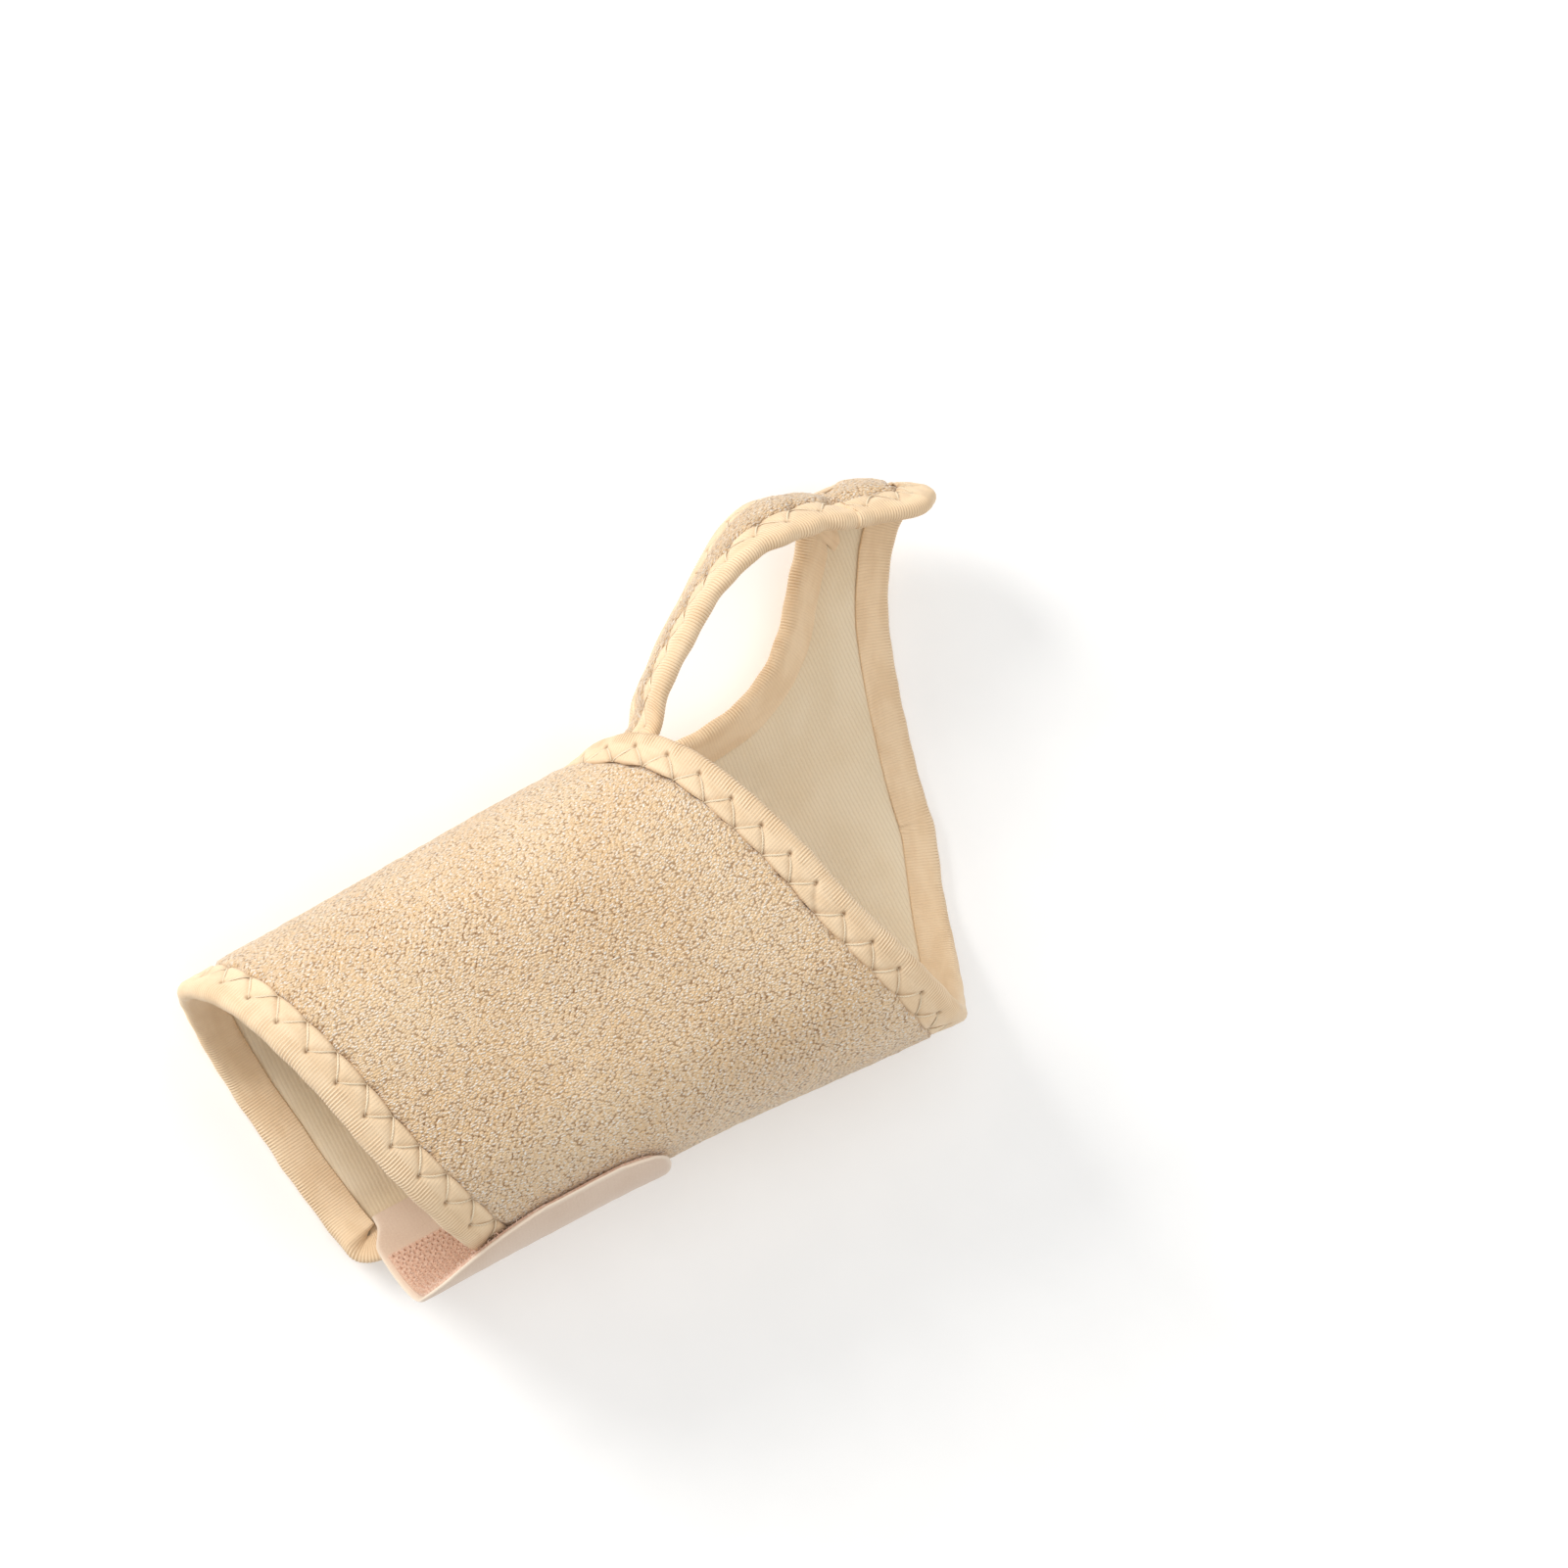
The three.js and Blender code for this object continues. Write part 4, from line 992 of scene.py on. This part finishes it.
def strap_laminate(prefix, near_half):
    made = []
    for layer, material in (("pile", PILE), ("foam", FOAM), ("lining", LINING)):
        gap = {"pile": 0.7, "foam": 2.4, "lining": 1.4}[layer]
        offs = np.array([0, 2.5, 5.4, 5.95, 6.3, 6.8, 7.5, 8.3]) if layer != "foam" else np.array([0, 5.9, 8.3])
        x_fine = np.linspace(75.4, 130.6, 200)
        wide = np.linalg.norm(strap(x_fine, 1 + 0 * x_fine, 1.7) - strap(x_fine, 0 * x_fine, 1.7), axis=1) * 1000
        n = int(45 / gap)
        t = np.linspace(0, 1, n + 1)
        t = np.unique(np.concatenate([t, [0.002, 0.998]]))[:, None]
        v0 = np.linspace(0, 1, 2)
        # rows by distance from both edges, at each place along the loop
        xc = (75.4 + t * (MID - 75.4)) if near_half else (130.6 + t * (MID - 130.6))
        w = np.interp(xc, x_fine, wide)
        m = 5 if layer == "pile" else 3
        o = offs[None] * np.minimum(1, w / 18.0)
        V = np.concatenate([o[:, :-1] / w, (o[:, -1:] + (w - 2 * o[:, -1:]) * np.linspace(0, 1, m + 1)[None, :-1]) / w, 1 - o[:, ::-1] / w], 1)
        root = hole_near(mix(STRIP_END, 17.0, V)) if near_half else hole_far(mix(STRIP_END, 9.0, V))
        X = root + t * (MID - root)
        W = np.interp(X, x_fine, wide)
        e = np.minimum(V, 1 - V) * W
        k = squeeze(e)
        low, high = layer_height(layer, 0, k), layer_height(layer, 1, k)
        shade = np.zeros(X.shape)
        U = arc(mix(STRIP_END, strap_edge(X), V))
        if layer == "pile":
            high = high + (0.10 * small(U, X, 1.7) + 0.05 * rng.uniform(-1, 1, X.shape)) * (1 - k) + 0.10 * (1 - k)
            s1 = np.interp(X, palm_path.p, palm_path.s)
            if near_half:
                s2 = np.interp(-X, -ring_path.p[:WRIST_CORNER], ring_path.s[:WRIST_CORNER])
            else:
                s2 = np.interp(-X, -ring_path.p[WEB_CORNER:], ring_path.s[WEB_CORNER:])
            for s, ee in ((s1, V * W), (s2, (1 - V) * W)):
                dim = np.exp(-((np.abs(s - np.round(s / (2 * HALF)) * 2 * HALF) / 1.0) ** 2 + ((ee - 6.9) / 1.1) ** 2))
                high = high - 0.42 * dim * (k < 0.98)
                shade = np.maximum(shade, 0.45 * dim)
            shade = np.clip(shade + 0.5 * np.exp(-(((e - 6.35) / 0.42) ** 2)), 0, 1)
        made.append(plate(f"{prefix}_{layer}_layer", strap(X, V, low), strap(X, V, high), material, np.stack([U, X], -1), None, {"shade": shade}, 45))
    return made


cuff = laminate("cuff", STRIP_END, 270, has_hole=True)
volar = laminate("radial_flank", 270, 360)
dorsal = laminate("outer_strap", 360, TAIL, tail=True)
near = strap_laminate("thumb_loop_wrist_half", True)
far = strap_laminate("thumb_loop_web_half", False)

# ------------------------------------------------------------------ tapes and seams
tail_lift = {}


def lift_for(path):
    s_tail = path.s_of(p=TAIL - 9)
    s_full = path.s_of(p=TAIL - 3)
    return lambda s: 1.40 * smooth(s_tail, s_full, s)


on_cuff, on_volar, on_dorsal, on_near, on_far = [], [], [], [], []


def pieces_of(path, marks, names, targets, lift=None):
    for (s0, s1), name, target in zip(marks, names, targets):
        target.append(tape(f"{name}_tape", path, s0, s1, lift))
        z = seam(f"{name}_zigzag", path, s0, s1, lift)
        if z:
            target.append(z)


for path, side in ((prox_path, "proximal"), (dist_path, "distal")):
    head = float(np.interp(-12.0, path.p[(path.p > -20)], path.s[(path.p > -20)]))
    s270, s360 = path.s_of(p=270), path.s_of(p=360)
    end = "strip_end_wrist" if side == "proximal" else "strip_end_web"
    pieces_of(
        path, [(0.0, head), (head, s270), (s270, s360), (s360, path.length)],
        [end, f"cuff_{side}", f"radial_flank_{side}", f"outer_strap_{side}"], [on_cuff, on_cuff, on_volar, on_dorsal], lift_for(path),
    )
c1, c2 = float(ring_path.s[WRIST_CORNER]) + 1.5, float(ring_path.s[WEB_CORNER]) - 1.5
pieces_of(
    ring_path, [(0.0, c1), (c1, c2), (c2, ring_path.length)],
    ["thumb_loop_wrist_half_thumb", "thumb_hole", "thumb_loop_web_half_thumb"], [on_near, on_cuff, on_far],
)
middle = palm_path.s_of(p=MID)
pieces_of(palm_path, [(0.0, middle), (middle, palm_path.length)], ["thumb_loop_wrist_half_palm", "thumb_loop_web_half_palm"], [on_near, on_far])

# ------------------------------------------------------------------ hook tab
tab_near = Curve([[540, -2], [548, -2], [558, 3], [565, 8], [570, 14.5], [574, 23]])
tab_far = Curve([[540, 46.5], [557, 46.5], [565, 45.9], [570, 43.8], [574, 37]])


def tab_edges(a):
    near_x = np.where(a < 540, -2.0, tab_near(a))
    far_x = np.where(a < 540, 46.5, tab_far(a))
    tuck = 2.2 * (1 - smooth(484, 494, a))
    return near_x + tuck, far_x - tuck


def tab_surface(a, x, d):
    return wrap(a - 360, x, d)


def tab_grid(a0, a1, gap, inset, edge=0.5):
    steps = int((a1 - a0) * 0.5 / gap)
    a = np.linspace(a0, a1, steps + 1)
    a = np.unique(np.concatenate([a, a0 + np.array([0.15, 0.5, 1.0]), a1 - np.array([0.15, 0.4, 0.8, 1.3])]))
    n, fr = tab_edges(a)
    n, fr = n + inset, fr - inset
    w = fr - n
    rows = int(46 / gap)
    o = np.array([0, 0.12, 0.35, 0.7, 1.2])
    inner = np.linspace(1.2, 1, 2)
    X = np.concatenate([
        n[:, None] + o[None, :-1] * np.minimum(1, w / 6)[:, None],
        (n + 1.2)[:, None] + (w - 2.4)[:, None] * np.linspace(0, 1, rows + 1)[None, :-1],
        fr[:, None] - o[None, ::-1] * np.minimum(1, w / 6)[:, None],
    ], 1)
    A = np.broadcast_to(a[:, None], X.shape)
    e = np.minimum(np.minimum(X - n[:, None], fr[:, None] - X), np.minimum((a1 - a)[:, None] * 0.5, 99))
    return A, X, e


A, X, e = tab_grid(480.5, 574, 1.0, 0.0)
back_low = mix(4.05, 4.72, smooth(488, 499, A))
back_high = mix(4.85, 5.52, smooth(488, 499, A))
round_edge = 0.34 * (1 - np.sqrt(np.clip(e / 0.7, 0, 1)))
nap = 0.05 * small(A * 0.5, X, 1.3) + 0.12 * middling(A * 0.5, X, 9.0) * smooth(500, 520, A)
shade = np.exp(-((e / 0.55) ** 2))
uv = np.stack([A * 0.5, X], -1)
tab_back = plate("hook_tab_cloth", tab_surface(A, X, back_low + round_edge + nap * 0.6), tab_surface(A, X, back_high - round_edge + nap), TAB, uv, None, {"shade": shade}, 50)
A, X, e = tab_grid(498.5, 573.0, 1.4, 1.1)
nap = 0.12 * middling(A * 0.5, X, 9.0) * smooth(500, 520, A)
hook_base = plate("hook_field", tab_surface(A, X, 4.28 + nap), tab_surface(A, X, 4.66 + nap * 0.6), HOOKS, np.stack([A * 0.5, X], -1), None, {"shade": 0 * A}, 50)


def hooks():
    """Moulded hooks in staggered rows: a tapered stem with a bent tip, closed."""
    pitch = 1.15
    verts, faces, uvs, shades = [], [], [], []
    base = 0
    row = 0
    a = 500.2
    while a < 571.8:
        n, fr = (float(v) for v in tab_edges(np.array(a)))
        xs = np.arange(n + 1.9 + (pitch / 2 if row % 2 else 0), fr - 1.9, pitch)
        if len(xs):
            aa = np.full(len(xs), a) + rng.uniform(-0.12, 0.12, len(xs))
            xx = xs + rng.uniform(-0.07, 0.07, len(xs))
            lean = 1 if row % 2 else -1
            bump = 0.12 * middling(aa * 0.5, xx, 9.0) * smooth(500, 520, aa)
            rings = [(4.45, 0.0, 0.30), (3.95, 0.04, 0.20), (3.66, 0.20, 0.16), (3.62, 0.44, 0.12), (3.78, 0.62, 0.05)]
            grid = []
            for d, shift, r in rings:
                for qx, qa in ((-1, -1), (1, -1), (1, 1), (-1, 1)):
                    grid.append(tab_surface(aa + qa * r * 0.8 / 0.55 * 0.6, xx + lean * shift + qx * r * 0.6, d + bump))
            g = np.stack(grid, 1)  # hooks x 20 x 3
            m = g.shape[1]
            idx = base + np.arange(len(xs) * m).reshape(len(xs), m)
            for r in range(len(rings) - 1):
                for k in range(4):
                    faces.append(np.stack([idx[:, r * 4 + k], idx[:, r * 4 + (k + 1) % 4], idx[:, (r + 1) * 4 + (k + 1) % 4], idx[:, (r + 1) * 4 + k]], -1))
            faces.append(idx[:, [3, 2, 1, 0]])
            faces.append(idx[:, [m - 4, m - 3, m - 2, m - 1]])
            verts.append(g.reshape(-1, 3))
            uvs.append(np.repeat(np.stack([aa * 0.5, xx], -1), m, 0))
            shades.append(np.tile(np.repeat([0.0, 0.1, 0.4, 0.8, 1.0], 4), len(xs)))
            base += len(xs) * m
        a += pitch * 0.87 / 0.5
        row += 1
    verts = np.concatenate(verts)
    faces = np.concatenate(faces)
    t4 = verts[faces]
    volume = np.einsum("ij,ij->i", t4[:, 0], np.cross(t4[:, 1], t4[:, 2])).sum() + np.einsum("ij,ij->i", t4[:, 0], np.cross(t4[:, 2], t4[:, 3])).sum()
    if volume < 0:
        faces = faces[:, ::-1]
    return mesh_object("hook_field_hooks", verts, [faces], HOOKS, np.concatenate(uvs), {"shade": np.concatenate(shades)}, 60)


hook_rows = hooks()

# ------------------------------------------------------------------ bodies
def mm(p):
    return tuple(float(v) for v in p)


fold_v = (mm(wrap(301.0, 35.0, 1.7)), mm(wrap(335.0, 35.0, 1.7)))
fold_d = (mm(wrap(391.0, 26.0, 1.7)), mm(wrap(419.0, 26.0, 1.7)))
loop_near = (mm(strap(77.0, 0.5, 1.7)), mm(strap(97.0, 0.5, 1.7)))
loop_far = (mm(strap(129.0, 0.5, 1.7)), mm(strap(109.0, 0.5, 1.7)))
tab_fold = (mm(tab_surface(490.0, 22.0, 5.0)), mm(tab_surface(502.0, 22.0, 5.0)))

for o in cuff + on_cuff:
    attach(o, "cuff")
for o in volar + on_volar:
    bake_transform(o)
for o in dorsal + on_dorsal:
    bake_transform(o)
for o in near + on_near:
    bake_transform(o)
for o in far + on_far:
    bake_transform(o)
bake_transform(tab_back)
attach(hook_base, "hook_tab")
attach(hook_rows, "hook_tab")

for o in cuff + volar + dorsal + near + far:
    layer = o.name.split("_")[-2]
    body = o.name[: -len(f"_{layer}_layer")]
    body = "thumb_loop" if body.startswith("thumb_loop") else body
    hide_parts(f"{body}_{layer}")
NODES = {
    "strip_end_wrist_tape": "strip_end_binding_wrist", "strip_end_web_tape": "strip_end_binding_web", "thumb_hole_tape": "thumb_hole_binding",
}
for o in on_cuff + on_volar + on_dorsal + on_near + on_far:
    kind = o.name.split("_")[-1]
    if o.name in NODES:
        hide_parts(NODES[o.name])
        continue
    stem, side = o.name[: -len(kind) - 1].rsplit("_", 1)
    stem = "thumb_loop" if stem.startswith("thumb_loop") else stem
    if stem in ("strip_end", "thumb"):
        continue
    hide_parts(f"{stem}_{'binding' if kind == 'tape' else 'stitching'}_{side}")
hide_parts("hook_tab_backing", "hook_tab_anchor")
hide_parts("hook_tab_hooks")

for group, trims, key in ((cuff, on_cuff, "cuff"), (volar, on_volar, "radial_flank"), (dorsal, on_dorsal, "outer_strap"), (near, on_near, "wrist"), (far, on_far, "web")):
    for i, o in enumerate(group):
        print("half surface", o.name, round(sum(p.area for p in o.data.polygons) / 2, 6))
print("half surface tab", sum(p.area for p in tab_back.data.polygons) / 2, "hooks", sum(p.area for p in hook_base.data.polygons) / 2)

# ------------------------------------------------------------------ floor
bpy.ops.mesh.primitive_grid_add(x_subdivisions=8, y_subdivisions=8, size=14, location=(0, 0, -0.0002))
floor = bpy.context.object
floor.name = "floor"
floor.data.materials.append(FLOOR)

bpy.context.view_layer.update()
for o in scene.objects:
    if o.type == "MESH" and "polygons" in dir(o.data) and not o.hide_render:
        print("piece", o.name, len(o.data.polygons))
